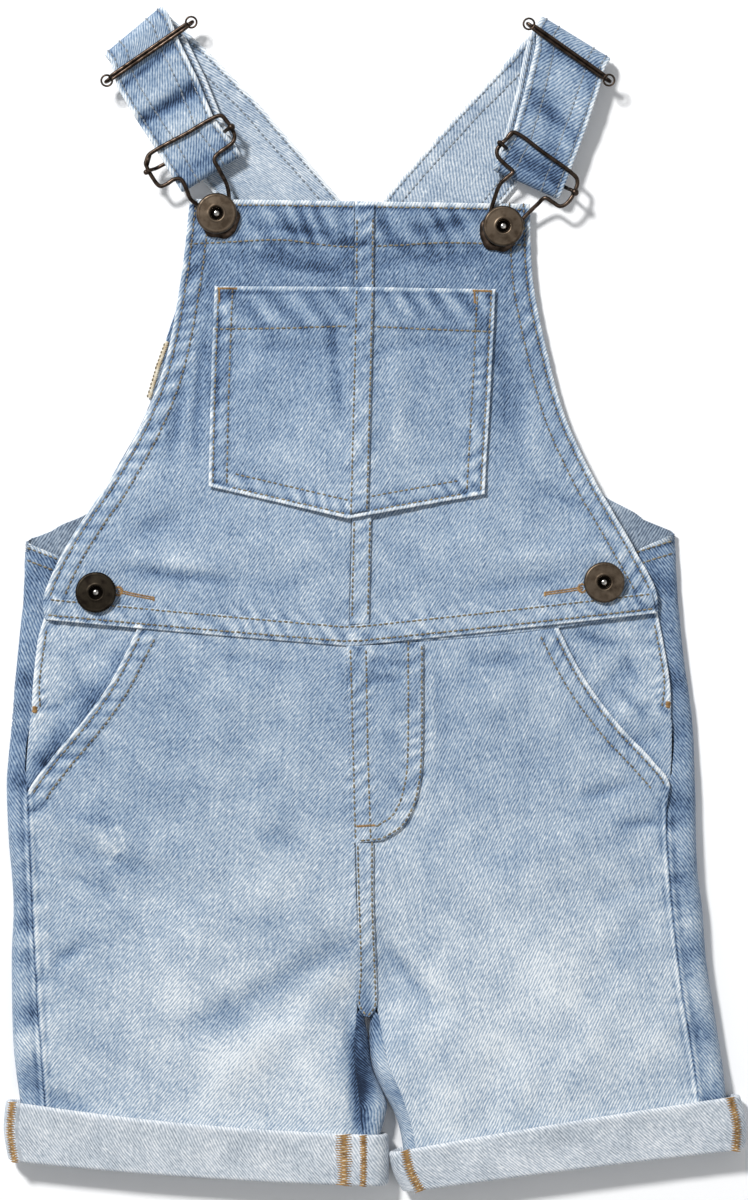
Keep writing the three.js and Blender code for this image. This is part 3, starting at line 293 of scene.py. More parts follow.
def splineAt(values, t):
    # a smooth curve through evenly spaced values, at t from 0 to 1
    values, t = np.asarray(values, float), np.asarray(t, float)
    last = len(values) - 1
    place = np.clip(t, 0, 1) * last
    i = np.minimum(place.astype(int), last - 1)
    m = (values[i + 1] - values[np.maximum(i - 1, 0)]) / np.where(i > 0, 2, 1)
    n = (values[np.minimum(i + 2, last)] - values[i]) / np.where(i < last - 1, 2, 1)
    return hermite(values[i], values[i + 1], m, n, place - i)


def column(rows, name):
    # one column of a table as a smooth function of y
    ys, values = rows["y"], rows[name]
    count = np.arange(len(ys))
    above, below = np.maximum(count - 1, 0), np.minimum(count + 1, len(ys) - 1)
    slope = (values[below] - values[above]) / (ys[below] - ys[above])

    def at(y):
        y = np.clip(y, ys[-1], ys[0])
        i = np.clip(np.searchsorted(-ys, -y, side="right") - 1, 0, len(ys) - 2)
        h = ys[i + 1] - ys[i]
        return hermite(values[i], values[i + 1], slope[i] * h, slope[i + 1] * h, (y - ys[i]) / h)
    return at


def bell(distance, wide):
    # a soft bump, 1 in the middle and dying away over about its width
    return np.exp(-(distance / wide) ** 2)


def unit(vectors):
    return vectors / np.maximum(np.linalg.norm(vectors, axis=-1, keepdims=True), 1e-9)


def runOf(line):
    # how far along a line each of its points lies
    return np.concatenate([[0], np.cumsum(np.linalg.norm(np.diff(line, axis=0), axis=1))])


def quadGrid(rows, columns, closed=False):
    # quads over rows of points that each close round; closed joins the last row to the first
    ids = np.arange(rows * columns).reshape(rows, columns)
    here, after = (ids, np.roll(ids, -1, 0)) if closed else (ids[:-1], ids[1:])
    return np.stack([here, np.roll(here, -1, 1), np.roll(after, -1, 1), after], -1).reshape(-1, 4), ids


def smoothStep(start, end, value):
    f = np.clip((value - start) / (end - start), 0, 1)
    return f * f * (3 - 2 * f)


def toSegment(x, y, x0, y0, x1, y1):
    # distance to a straight segment, and the way along it from 0 to 1
    dx, dy = x1 - x0, y1 - y0
    f = np.clip(((x - x0) * dx + (y - y0) * dy) / (dx * dx + dy * dy), 0, 1)
    return np.hypot(x - x0 - f * dx, y - y0 - f * dy), f


middleHeight, edgeHeight = column(frontRows, "middle"), column(frontRows, "edge")
bodyCentre, bodyHalf = column(frontRows, "centre"), column(frontRows, "half")
stripDrop = column(stripRows, "drop")


def lift(x, y):
    # how high the middle of the front's cloth lies
    s = np.minimum(np.abs(x - bodyCentre(y)) / bodyHalf(y), 1)
    height = edgeHeight(y) + (middleHeight(y) - edgeHeight(y)) * (1 - s * s)
    height = height - (crotch["dip"] * bell(x - crotch["x"], crotch["wide"])
                       * bell(y - crotch["y"], crotch["tall"]))
    for x0, y0, x1, y1, rise, wide in zip(*folds.values()):
        height = height + rise * bell(toSegment(x, y, x0, y0, x1, y1)[0], wide)
    return height


def cuffTop(x):
    left, right = cuffRows["cuff_left"], cuffRows["cuff_right"]
    tops = [r["ly"][0] + (r["ry"][0] - r["ly"][0]) * (x - r["lx"][0]) / (r["rx"][0] - r["lx"][0])
            for r in (left, right)]
    return np.where(x < cloth["betweenLegs"], *tops)


def backHeight(x, y):
    ramp = smoothStep(cuffTop(x) + cloth["rampFrom"], cuffTop(x) + cloth["rampTo"], y)
    return onFloor + (cloth["turnUp"] + cloth["apart"]) * ramp


# Smooth seeded noise from -1 to 1 over a plane, one lattice cell a millimetre of x and y
lattice = np.random.RandomState(7).uniform(-1, 1, (128, 128))


def noiseAt(x, y):
    x, y = np.asarray(x, float), np.asarray(y, float)
    i, j = np.floor(x).astype(int), np.floor(y).astype(int)
    f, g = x - i, y - j
    f, g = f * f * (3 - 2 * f), g * g * (3 - 2 * g)
    at = lambda a, b: lattice[(i + a) % 128, (j + b) % 128]
    low = at(0, 0) + (at(1, 0) - at(0, 0)) * f
    high = at(0, 1) + (at(1, 1) - at(0, 1)) * f
    return low + (high - low) * g


# A line drawn smoothly through a few points, and the distance to it and the way along it from any place
def smoothLine(points, step=1.5):
    points = np.asarray(points, float)
    t = np.linspace(0, 1, 40 * len(points))
    line = np.stack([splineAt(points[:, k], t) for k in range(points.shape[1])], 1)
    along = runOf(line)
    even = np.linspace(0, along[-1], max(int(along[-1] / step), 2) + 1)
    return np.stack([np.interp(even, along, line[:, k]) for k in range(points.shape[1])], 1), even


def alongLine(x, y, line, even):
    shape = np.shape(x)
    x, y = np.ravel(x), np.ravel(y)
    best, way, side = np.full(x.shape, 1e9), np.zeros(x.shape), np.ones(x.shape)
    for (x0, y0), (x1, y1), start, end in zip(line[:-1], line[1:], even[:-1], even[1:]):
        near, f = toSegment(x, y, x0, y0, x1, y1)
        closer = near < best
        best = np.where(closer, near, best)
        way = np.where(closer, start + f * (end - start), way)
        side = np.where(closer, np.sign((x1 - x0) * (y - y0) - (y1 - y0) * (x - x0)), side)
    return best.reshape(shape), way.reshape(shape), side.reshape(shape)


def moved(points, shift):
    points = np.asarray(points, float)
    ahead = unit(np.gradient(points, axis=0))
    return points + shift * np.stack([-ahead[:, 1], ahead[:, 0]], 1)


def edgeOf(rows, end, first=0, last=None):
    t = np.linspace(0, 1, 12 * len(rows["ax"]))
    place = t * (len(rows["ax"]) - 1)
    keep = (place >= first) & (place <= (last if last is not None else len(rows["ax"])))
    return np.stack([splineAt(rows[end + "x"], t), splineAt(rows[end + "y"], t)], 1)[keep]


def rowOf(rows, t, inset=0):
    a, b = (np.array([splineAt(rows[e + "x"], t), splineAt(rows[e + "y"], t)]) for e in "ab")
    middle = np.array([splineAt(rows["mx"], t), splineAt(rows["my"], t)]) if "mx" in rows else (a + b) / 2
    s = np.linspace(0, 1, 40)[:, None]
    line = np.where(s < 0.5, a + (middle - a) * s * 2, middle + (b - middle) * (s * 2 - 1))
    line[:, 1] += splineAt(rows["bow"], t) * 4 * s[:, 0] * (1 - s[:, 0])
    return line if inset == 0 else moved(line, inset)


# Places along a length: close together at both ends, where an edge is rounded, and even between
rim = np.array([0, 0.12, 0.35, 0.65, 1.1, 1.65, 2.25, 2.9])


def stopsFor(length, step=cloth["step"]):
    count = max(int((length - 2 * rim[-1]) / step), 1) + 1
    inner = np.linspace(rim[-1], length - rim[-1], count)
    return np.concatenate([rim[:-1], inner, length - rim[-2::-1]]) / length


def evenly(t, line):
    along = runOf(line)
    return lambda s: np.interp(s * along[-1], along, t), along[-1]


def onSeam(x, y, seam):
    if seam is None:
        return x
    return np.where((y <= seam["top"]) & (y >= seam["foot"]), seam["line"](y) + seam["gap"], x)


def seamOn(rows, gap, top=None, foot=-250):
    top = rows["y"][0] if top is None else top
    return {"line": column(rows, "x"), "gap": gap, "top": top, "foot": foot}


def panelGrid(rows, seams=None):
    # a panel's places in x and y, from hem to top and from side to side
    seams = seams or {}

    def ends(t):
        at = {}
        for key in "ab":
            x, y = splineAt(rows[key + "x"], t), splineAt(rows[key + "y"], t)
            at[key] = (onSeam(x, y, seams.get(key)), y)
        if "mx" in rows:
            at["m"] = (splineAt(rows["mx"], t), splineAt(rows["my"], t))
        else:
            at["m"] = tuple((p + q) / 2 for p, q in zip(at["a"], at["b"]))
        return at
    fine = np.linspace(0, 1, 300)
    where, length = evenly(fine, np.stack(ends(fine)["m"], 1))
    t = where(stopsFor(length))
    at = ends(t)
    widths = np.hypot(at["b"][0] - at["a"][0], at["b"][1] - at["a"][1])
    s = stopsFor(widths.max())[None, :]
    first, second = s * 2, s * 2 - 1
    mix = lambda k: np.where(s < 0.5, at["a"][k][:, None] + (at["m"][k] - at["a"][k])[:, None] * first,
                             at["m"][k][:, None] + (at["b"][k] - at["m"][k])[:, None] * second)
    return mix(0), mix(1) + splineAt(rows["bow"], t)[:, None] * 4 * s * (1 - s)


# A fold that carries the back round to the front; way is -1 towards -X and 1 towards +X
class Fold:
    def __init__(self, rows, way, top):
        self.edge, self.way, self.top = column(rows, "x"), way, top

    def radius(self, y):
        edge = self.edge(y)
        return (self.top(edge - self.way * cloth["insideEdge"], y) - backHeight(edge, y)) / 2

    def start(self, y):
        return self.edge(y) - self.way * (self.radius(y) + cloth["denim"] / 2)

    def unrolled(self, x, y):
        return 2 * self.start(y) + self.way * math.pi * self.radius(y) - x

    def past(self, p, y):
        return self.way * (p - self.start(y))

    def folded(self, p, y):
        r, past = self.radius(y), self.past(p, y)
        turn = np.minimum(past / r, math.pi)
        onTop = past >= math.pi * r
        x = np.where(onTop, self.start(y) - self.way * (past - math.pi * r),
                     self.start(y) + self.way * r * np.sin(turn))
        z = np.where(onTop, self.top(x, y), backHeight(self.edge(y), y) + r * (1 - np.cos(turn)))
        return x, z


def cutEnd(rows, end, wraps, fold, seam, t):
    last = int(np.max(np.nonzero(rows[wraps])[0]))
    xs, ys = rows[end + "x"], rows[end + "y"]
    place = t * (len(xs) - 1)
    x, y = splineAt(xs, t), splineAt(ys, t)
    f = np.clip(place - last, 0, 1)
    begin = fold.unrolled(xs[last], ys[last])
    straightX, straightY = begin + (xs[last + 1] - begin) * f, ys[last] + (ys[last + 1] - ys[last]) * f
    cutX = np.where(place <= last, fold.unrolled(onSeam(x, y, seam), y), np.where(f >= 1, x, straightX))
    return cutX, np.where((place <= last) | (f >= 1), y, straightY)


def backGrid(rows, inseam, side, seams):
    fine = np.linspace(0, 1, 400)
    ends = lambda t: (cutEnd(rows, "i", "innerWraps", inseam, seams["inner"], t),
                      cutEnd(rows, "o", "outerWraps", side, seams["outer"], t))
    (ax, ay), (bx, by) = ends(fine)
    where, length = evenly(fine, np.stack([(ax + bx) / 2, (ay + by) / 2], 1))
    (ax, ay), (bx, by) = ends(where(stopsFor(length, cloth["stepUpBack"])))
    s = stopsFor(np.abs(bx - ax).max(), cloth["stepOverBack"])[None, :]
    p = ax[:, None] + (bx - ax)[:, None] * s
    y = ay[:, None] + (by - ay)[:, None] * s
    sideX, sideZ = side.folded(p, y)
    innerX, innerZ = inseam.folded(p, y)
    onSide = side.past(p, y) > 0
    onInner = (inseam.past(p, y) > 0) & (y < crotch["y"] + crotch["above"])
    x = np.where(onSide, sideX, np.where(onInner, innerX, p))
    z = np.where(onSide, sideZ, np.where(onInner, innerZ, backHeight(p, y)))
    overSide = smoothStep(math.pi * 0.5, math.pi * 1.1, side.past(p, y) / side.radius(y))
    overInner = np.where(onInner, smoothStep(math.pi * 0.5, math.pi * 1.1,
                                             inseam.past(p, y) / inseam.radius(y)), 0)
    return p, x, y, z, np.maximum(overSide, overInner)


# Creases of the front, given one by one: from one end to the other, how far they rise, how wide they are
# and how much paler (or, below 0, bluer) the cloth is along them: painted light on the ridges and painted
# shade in the troughs, and real wear only in the rubbed patch on the left thigh
creases = table(
    "x0 y0 x1 y1 rise wide pale",
    # a small rubbed patch on the left thigh, under a blue bar
    (-121, -89.8, -104, -91.6, 0, 2.4, -0.14), (-111.5, -96, -111.2, -104, 0, 1, 0.2),
    (-106.6, -94, -104.2, -94.3, 0, 1, 0.3), (-107.4, -104.6, -105.2, -103.4, 0, 0.9, 0.3),
    (-110.2, -109.2, -106.4, -106.8, 0, 0.9, 0.26), (-103.6, -96, -103, -105, 0, 0.9, 0.15),
    (-107.6, -107.6, -103.6, -104.8, 0, 0.8, -0.28), (-110.2, -95, -109, -97.5, 0, 0.9, -0.16),
    # the right hip facing, drawn up by its button
    (82, -14.5, 102, -19, -0.5, 2.2, -0.22), (102.5, -18, 117.6, -19.4, -0.3, 1.6, -0.16),
    (103.7, -24.4, 108.3, -33, -0.4, 2.5, -0.14), (101.4, -37.7, 111.2, -47.5, -0.5, 2.2, -0.26),
    (110, -43.8, 118.8, -43.8, -0.3, 1.4, -0.18), (113, -51.6, 116.4, -58.5, -0.3, 2.5, -0.12),
    # the left hip facing, and the shade that gathers above the foot of its slant
    (-138.9, -45.8, -129.8, -44.4, -0.4, 1.5, -0.28), (-129.8, -44.4, -119.9, -37.3, -0.4, 2, -0.16),
    (-136.1, -67.3, -131.9, -69.1, -0.3, 1.3, -0.45), (-127.6, -21.1, -124.1, -26.8, -0.3, 2, -0.15),
    (-117, -18.3, -108.6, -15.5, -0.3, 2, -0.16), (-134.7, -21.1, -130.5, -22.5, -0.3, 2, -0.13),
    (-127, -46, -132, -62, -0.3, 3, -0.14),
    # left leg
    (-18, -146, -78, -178, -1.2, 6, -0.24), (-12, -163, -64, -176, -0.5, 5, -0.1),
    (-26, -132, -10, -146, -0.4, 5, -0.1), (-18, -158, -60, -194, 0.7, 7, 0.12),
    (-60, -196, -74, -214, 0.4, 8, 0.06), (-62, -124, -112, -167, 0.5, 10, 0.07),
    (-90, -158, -76, -161, 0.3, 8, 0.05), (-121, -143, -131, -149, -0.9, 3, -0.28),
    (-132, -126, -130, -158, -0.35, 2.5, -0.08), (-135, -200, -121, -209, -0.9, 4, -0.24),
    (-100, -190, -60, -205, -0.3, 7, -0.04), (-30, -176, -22, -212, 0.7, 5, 0.08),
    (-11, -172, -7, -222, -1.2, 3.2, -0.34), (-8, -178, -7, -216, -0.5, 2, -0.28),
    (-46, -208, -40, -222, -0.4, 3, -0.06), (-92, -208, -84, -217, -0.4, 3, -0.05),
    (-124, -104, -86, -112, -0.5, 4, -0.09), (-134, -112, -104, -122, -0.45, 3.5, -0.08),
    (-128, -92, -100, -99, 0.4, 5, 0.05),
    # right leg
    (3, -140, 24, -167, -1, 2.8, -0.18), (0, -148, 8, -162, -0.6, 2.2, -0.1),
    (8, -140, 30, -162, 0.5, 4, 0.1), (60, -140, 86, -176, 0.6, 9, 0.08),
    (28, -168, 60, -196, 0.35, 8, 0.05), (96, -150, 74, -186, -0.5, 8, -0.07),
    (-110, -101, -106, -101, 0.3, 5, 0.1), (-112, -92, -103, -110, -0.3, 8, -0.05),
    (112, -130, 92, -148, -0.45, 5, -0.07), (116, -116, 88, -124, -0.5, 4, -0.08),
    (110, -104, 82, -110, 0.4, 5, 0.05), (70, -196, 64, -214, -0.4, 4, -0.05),
    (100, -190, 104, -204, -0.5, 4, -0.08), (28, -196, 34, -222, 0.5, 6, 0.06),
    (124, -170, 108, -190, 0.4, 5, 0.05), (10, -178, 20, -206, -0.4, 4, -0.07),
    # hips and fly
    (-104, -42, -74, -50, -0.4, 5, -0.05), (-70, -38, -30, -44, 0.35, 8, 0.05),
    (-60, -70, -24, -84, -0.3, 9, -0.05), (40, -44, 74, -36, 0.35, 7, 0.05),
    (30, -74, 70, -64, -0.3, 9, -0.05), (-20, -100, -44, -120, 0.35, 7, 0.06),
    (12, -104, 40, -122, 0.35, 8, 0.06), (22, -30, 30, -60, -0.3, 4, -0.06),
    (23.2, -26, 23.4, -70, 0.25, 1.6, 0.12), (23.4, -70, 16, -92, 0.25, 1.6, 0.1),
    (-4, -26, 16, -27, -0.4, 1.8, -0.16), (-4, -34, 14, -33, -0.4, 1.8, -0.15),
    (84, -82, 104, -77, -0.8, 3, -0.2), (101, -93, 119, -92, -0.8, 2.4, -0.24),
    (40, -26, 62, -24, -0.4, 3, -0.13), (-60, -24, -34, -28, -0.4, 3, -0.12),
    (-46, -95, -30, -104, -0.4, 4, -0.08),
    # hip facings
    (-126, -30, -112, -44, -0.6, 3.5, -0.12), (-138, -66, -118, -62, -0.8, 3, -0.16),
    (-132, -48, -116, -58, 0.5, 4, 0.08), (-122, -20, -104, -24, -0.4, 3, -0.1),
    (104, -26, 92, -40, -0.6, 3.5, -0.12), (116, -56, 100, -60, -0.7, 3, -0.14),
    (112, -40, 98, -50, 0.5, 4, 0.08),
    # bib
    (-84, 58, -78, 92, -0.7, 2.8, -0.22), (-74, 60, -71, 108, -0.6, 2.4, -0.2),
    (-78, 74, -74, 112, 0.35, 2.4, 0.06), (-104, 40, -86, 60, 0.3, 4, 0.05),
    (-100, 26, -80, 34, -0.5, 4, -0.11), (-110, 16, -60, 14, 0.5, 4, 0.1),
    (-104, 12, -60, 6, -0.8, 2.6, -0.24), (-60, 22, -20, 20, 0.3, 6, 0.05),
    (-58, 8, -30, 4, -0.3, 4, -0.08), (60, 60, 57, 96, -0.5, 3, -0.13), (54, 64, 52, 110, -0.4, 2.4, -0.12),
    (84, 34, 66, 46, -0.5, 4, -0.1), (90, 18, 44, 16, 0.5, 4, 0.1), (82, 9, 40, 4, -0.5, 3, -0.13),
    (10, 22, 50, 26, 0.3, 7, 0.05), (-70, 150, -52, 143, 0.3, 3, 0.08),
    (-60, 141, -12, 138, -0.45, 4, -0.16), (-36, 137, -14, 134, -0.5, 2.2, -0.2),
    (-46, 153, -20, 149, -0.6, 2, -0.26), (-14, 160, -11, 140, -0.5, 2.4, -0.2),
    (4, 139, 46, 141, -0.5, 3.4, -0.18), (3, 160, 5, 144, -0.5, 2.2, -0.18),
    (16, 152, 40, 154, -0.6, 2.2, -0.22), (-34, 148, -28, 136, 0.25, 2.5, 0.06),
    # bib pocket
    (-58, 104, -16, 102, -0.4, 3, -0.1), (2, 103, 40, 105, -0.35, 3, -0.09),
    (-60, 122, -60, 104, 0.35, 2.4, 0.08), (-18, 120, -14, 70, -0.5, 2.6, -0.2),
    (8, 120, 9, 60, 0.35, 3, 0.08), (-44, 62, -20, 52, 0.3, 4, 0.06), (-60, 56, -46, 50, -0.35, 3, -0.08),
    (20, 54, 38, 58, -0.3, 3, -0.07), (28, 112, 30, 70, -0.25, 4, -0.05))

# How worn the cloth is down the garment, as a place on the denim's colour ramp
wearRows = table(
    "y worn", (165, 0.43), (140, 0.41), (115, 0.47), (90, 0.52), (50, 0.58), (20, 0.58), (-20, 0.58),
    (-60, 0.6), (-100, 0.65), (-140, 0.71), (-200, 0.77), (-235, 0.78))
# Large pale or blue areas: middle, half widths and how much. The two narrow blue bars at x -4 down the
# left inseam are painted shade, where the leg turns under
fades = table(
    "x y wide tall pale", (-56, -172, 34, 40, 0.06), (76, -160, 34, 36, 0.07), (-118, -178, 16, 42, -0.09),
    (-107.4, -100.5, 5.5, 9, 0.07), (116, -190, 14, 40, -0.03), (-8, -60, 14, 40, -0.04),
    (-36, 128, 90, 10, -0.04), (-66, 90, 6, 34, -0.1), (50, 90, 6, 34, -0.1), (-10, 60, 8, 60, 0.02),
    (-4, -178, 3.8, 24, -0.4), (-4.5, -206, 2.6, 20, -0.26), (8, -45, 3, 4, -0.12), (7, -57, 3, 4, -0.1),
    (7.5, -74, 3, 5, -0.14), (2, -30, 16, 8, -0.05), (-100, -110, 30, 60, -0.05),
    (-40, -140, 30, 12, -0.06), (-98, 40, 10, 20, -0.03))
worn = column(wearRows, "worn")


def creaseAt(x, y, what):
    total = np.zeros(np.shape(x))
    for x0, y0, x1, y1, rise, wide, pale in zip(*creases.values()):
        reach = 3 * wide
        near = ((x > min(x0, x1) - reach) & (x < max(x0, x1) + reach)
                & (y > min(y0, y1) - reach) & (y < max(y0, y1) + reach))
        if not near.any():
            continue
        # a crease wanders a little and dies away at both ends
        bend = 0.35 * wide * noiseAt(x[near] / 17 + y0, y[near] / 17 + x0)
        apart, f = toSegment(x[near] + bend, y[near] + bend, x0, y0, x1, y1)
        end = np.sin(math.pi * np.clip(0.08 + 0.84 * f, 0, 1)) ** 0.6
        total[near] += (rise if what == "height" else pale) * end * bell(apart, wide)
    return total


# Seams of the front: a ridge or groove with the puckers that roping leaves. left and right say how far the
# sewn layers reach, lean slants the puckers, and the cloth is paler on each pucker's crest
seams = {}
# Beside a row of stitches the cloth dips and is darkened with painted shade; a rolled edge is rubbed pale
# and the hollow beside it is darkened with painted shade
seamLook = {"dip": 0.22, "dipWide": 0.7, "dipShade": 0.13, "shadeWide": 0.85, "coreWide": 0.55,
            "rubWide": 0.75, "hollowAt": 1.8, "hollowShade": 0.22}


def addSeam(name, points, left=0.0, right=0.0, raised=0.35, pitch=7.5, height=0.28, lean=0.7, fadeOut=5.0,
            edge=0.0, groove=(), bead=0.22, puckerTone=0.17, rub=0.7, core=0.0):
    line, even = smoothLine(points)
    seams[name] = {"line": line, "even": even, "left": left, "right": right, "raised": raised,
                   "pitch": pitch, "height": height, "lean": lean, "fade": fadeOut, "edge": edge,
                   "groove": groove,
                   "bead": bead, "puckerTone": puckerTone, "rub": rub, "core": core,
                   "box": (line.min(0) - 22, line.max(0) + 22)}


def seamFields(x, y, names):
    height, pale = np.zeros(np.shape(x)), np.zeros(np.shape(x))
    for number, name in enumerate(names):
        seam = seams[name]
        low, high = seam["box"]
        near = (x > low[0]) & (x < high[0]) & (y > low[1]) & (y < high[1])
        if not near.any():
            continue
        px, py = x[near], y[near]
        apart, along, side = alongLine(px, py, seam["line"], seam["even"])
        # reach is 0 on the sewn band and grows past it
        band = np.where(side > 0, seam["left"], seam["right"])
        past = np.maximum(apart - band, 0)
        onBand = 1 - smoothStep(-0.4, 0.8, apart - band)
        decay = bell(past, seam["fade"])
        shift = 1.6 * noiseAt(along / 19 + number * 3, number + 0.5 + 0 * along)
        turn = 2 * math.pi * ((along + seam["lean"] * apart * side) / seam["pitch"] + shift)
        strength = 0.55 + 0.45 * noiseAt(along / 13 + 5, number * 2 + 0.3 + apart / 9)
        wave = np.sin(turn) * strength * decay
        height[near] += seam["raised"] * onBand + seam["height"] * wave
        pale[near] += seam["puckerTone"] * wave * decay
        # each stitch groove is darkened with painted shade
        for offset in seam["groove"]:
            reach = np.abs(apart * side - offset)
            height[near] -= seamLook["dip"] * bell(reach, seamLook["dipWide"])
            pale[near] -= seamLook["dipShade"] * bell(reach, seamLook["shadeWide"])
        pale[near] -= seam["core"] * bell(apart, seamLook["coreWide"])
        if seam["edge"]:
            # the rolled edge is rubbed pale, and the hollow beside it darkened with painted shade
            fromEdge = apart - seam["rub"]
            rubbed = bell(np.maximum(fromEdge, 0), seamLook["rubWide"])
            hollow = bell(fromEdge - seamLook["hollowAt"], seamLook["rubWide"])
            hollow = hollow * (0.6 + 0.5 * noiseAt(along / 3.1, number + 0.7))
            uneven = 0.9 + 0.2 * noiseAt(along / 2.3, number + 0.2)
            pale[near] += seam["edge"] * rubbed * uneven - seamLook["hollowShade"] * hollow
            height[near] += seam["bead"] * (rubbed - 0.6 * hollow)
    return height, pale


# How far rows of stitches lie from an edge
stitchInset = {"outer": 2.5, "inner": 8.2, "hem": 2.3, "pocket": 1.7, "pocketInner": 7.4,
               "hip": (2.3, 8.0), "fly": (0.7, 6.3), "armholeBack": (1.9, 7.0)}

bibLeftEdge, bibRightEdge = edgeOf(bibLeftRows, "a", 1), edgeOf(bibRightRows, "b", 1)
bibTop = np.array([(-75.8, 164.0), (-8.0, 162.9), (63.5, 161.9)])
hipLeftEdge, hipRightEdge = edgeOf(frontLeftRows, "a", 7), edgeOf(frontRightRows, "b", 8)
pocketOutline = {"left": edgeOf(pocketRows, "a"), "right": edgeOf(pocketRows, "b"),
                 "foot": rowOf(pocketRows, 0), "mouth": rowOf(pocketRows, 1)}


def addHem(name, points, side, reach, rows, **look):
    # an edge turned under and stitched: side is 1 where the cloth lies to the left of the line, else -1
    addSeam(name, points, left=reach if side > 0 else 0, right=0 if side > 0 else reach,
            groove=[side * row for row in rows], **look)


for name, points, side in (("bibLeft", bibLeftEdge, -1), ("bibRight", bibRightEdge, 1)):
    addHem(name, points, side, 8.2, (2.5, 8.2), raised=0.45, edge=0.3, fadeOut=4)
for name, points, side in (("hipLeft", hipLeftEdge, -1), ("hipRight", hipRightEdge, 1)):
    addHem(name, points, side, 8.2, (2.3, 8.0), raised=0.45, edge=0.32, pitch=6.5, height=0.16, fadeOut=3)
for name, side, pitch in (("left", -1, 8), ("right", 1, 8), ("foot", 1, 7)):
    addHem("pocket" + name.title(), pocketOutline[name], side, 7.4, (1.7, 7.4), raised=0.3, pitch=pitch,
           height=0.14, edge=0.3, fadeOut=3)
addHem("pocketMouth", pocketOutline["mouth"], -1, 17, (16.6,), raised=0.3, pitch=11, height=0.12, edge=0.32,
       fadeOut=3)
addHem("bibTop", bibTop, -1, 17.5, (2.3, 17.5), raised=0.4, pitch=11, height=0.2, edge=0.5, rub=1.3,
       fadeOut=5)
addSeam("waist", rowOf(waistRows, 0.5), left=3.5, right=3.5, raised=0.1, puckerTone=0.2, pitch=8.5,
        height=0.24, lean=0.9, fadeOut=5)
addSeam("bibCentre", [(-7.0, -20), (-6.3, -9), (-5.2, 48), (-4.2, 162)], left=4, right=4, raised=0.1,
        pitch=8, height=0.16, fadeOut=4)
addSeam("frontCentre", [(-2.5, -152), (-4, -126), (-5, -100), (-6.5, -22)], left=3, right=3, raised=0.1,
        pitch=6.5, height=0.22, fadeOut=4)
addSeam("flyJ", edgeOf(flyRows, "b"), left=6, right=0, raised=0.1, pitch=8, height=0.12, fadeOut=4)
addSeam("leftSide", [(-142.3, -78), (-141, -111), (-138.6, -159), (-135.3, -204), (-134.4, -230)], raised=0,
        pitch=15, height=0.28, lean=0.2, fadeOut=7, edge=0.18, core=0.5)
addSeam("rightSide", [(119.3, -84), (120.2, -110), (124.6, -153), (130.4, -190), (134.9, -226)], raised=0,
        pitch=14, height=0.28, lean=0.2, fadeOut=7, edge=0.18, core=0.5)
addSeam("pocketCentre", [(-6.7, 34), (-4.4, 127)], left=4, right=4, raised=0.05, pitch=8, height=0.14,
        fadeOut=4)
addSeam("waistFoot", moved(rowOf(waistRows, 0), -1.3), left=2, right=0, raised=0, height=0.1, edge=0.32,
        fadeOut=2, rub=0.3)
# the vents' rolled edges carry on down from the bib to the bar tacks
ventLeft = [(-135.6, 1.0), (-136.8, -9.4), (-138.6, -22.0), (-140.1, -35.0), (-139.8, -45.6)]
ventRight = [(115.2, 3.2), (116.2, -5.2), (118.6, -17.6), (121.2, -33.6), (120.4, -44.0)]
for name, points, side in (("ventLeft", ventLeft, 1), ("ventRight", ventRight, -1)):
    addHem(name, points, side, 5, (), raised=0.2, edge=0.32, pitch=6, height=0.1, fadeOut=2)
bodySeams = ["bibLeft", "bibRight", "bibTop", "hipLeft", "hipRight", "waist", "bibCentre", "frontCentre",
             "flyJ", "leftSide", "rightSide"]
bandSeams = bodySeams + ["waistFoot"]
pocketSeams = ["pocketLeft", "pocketRight", "pocketFoot", "pocketMouth", "pocketCentre"]


# What every front piece shares, so that layers stay parallel: creases and the slow roll of the cloth
def sharedHeight(x, y):
    roll = 0.35 * noiseAt(x / 23, y / 29) + 0.16 * noiseAt(x / 9 + 40, y / 11 + 9)
    return creaseAt(x, y, "height") + roll


def wearAndShadeAt(x, y):
    # the cloth's wear down the garment, plus the painted shade and light of the creases and of the inseam's
    # fades
    tone = worn(y) + creaseAt(x, y, "pale")
    for fx, fy, wide, tall, pale in zip(*fades.values()):
        tone = tone + pale * bell(x - fx, wide) * bell(y - fy, tall)
    return tone + 0.035 * noiseAt(x / 13 + 3, y / 17 + 8) + 0.02 * noiseAt(x / 5 + 9, y / 7 + 2)


def newPiece(name, points, faces, attributes, material):
    data = bpy.data.meshes.new(name)
    data.from_pydata(np.asarray(points) * metre, [], np.asarray(faces).tolist())
    for key, values in attributes.items():
        values = np.asarray(values, np.float32)
        kind = "FLOAT_VECTOR" if values.ndim == 2 else "FLOAT"
        layer = data.attributes.new(key, kind, "POINT")
        layer.data.foreach_set("vector" if values.ndim == 2 else "value", values.ravel())
    data.shade_smooth()
    data.materials.append(material)
    data.validate()
    piece = bpy.data.objects.new(name, data)
    bpy.context.scene.collection.objects.link(piece)
    return piece


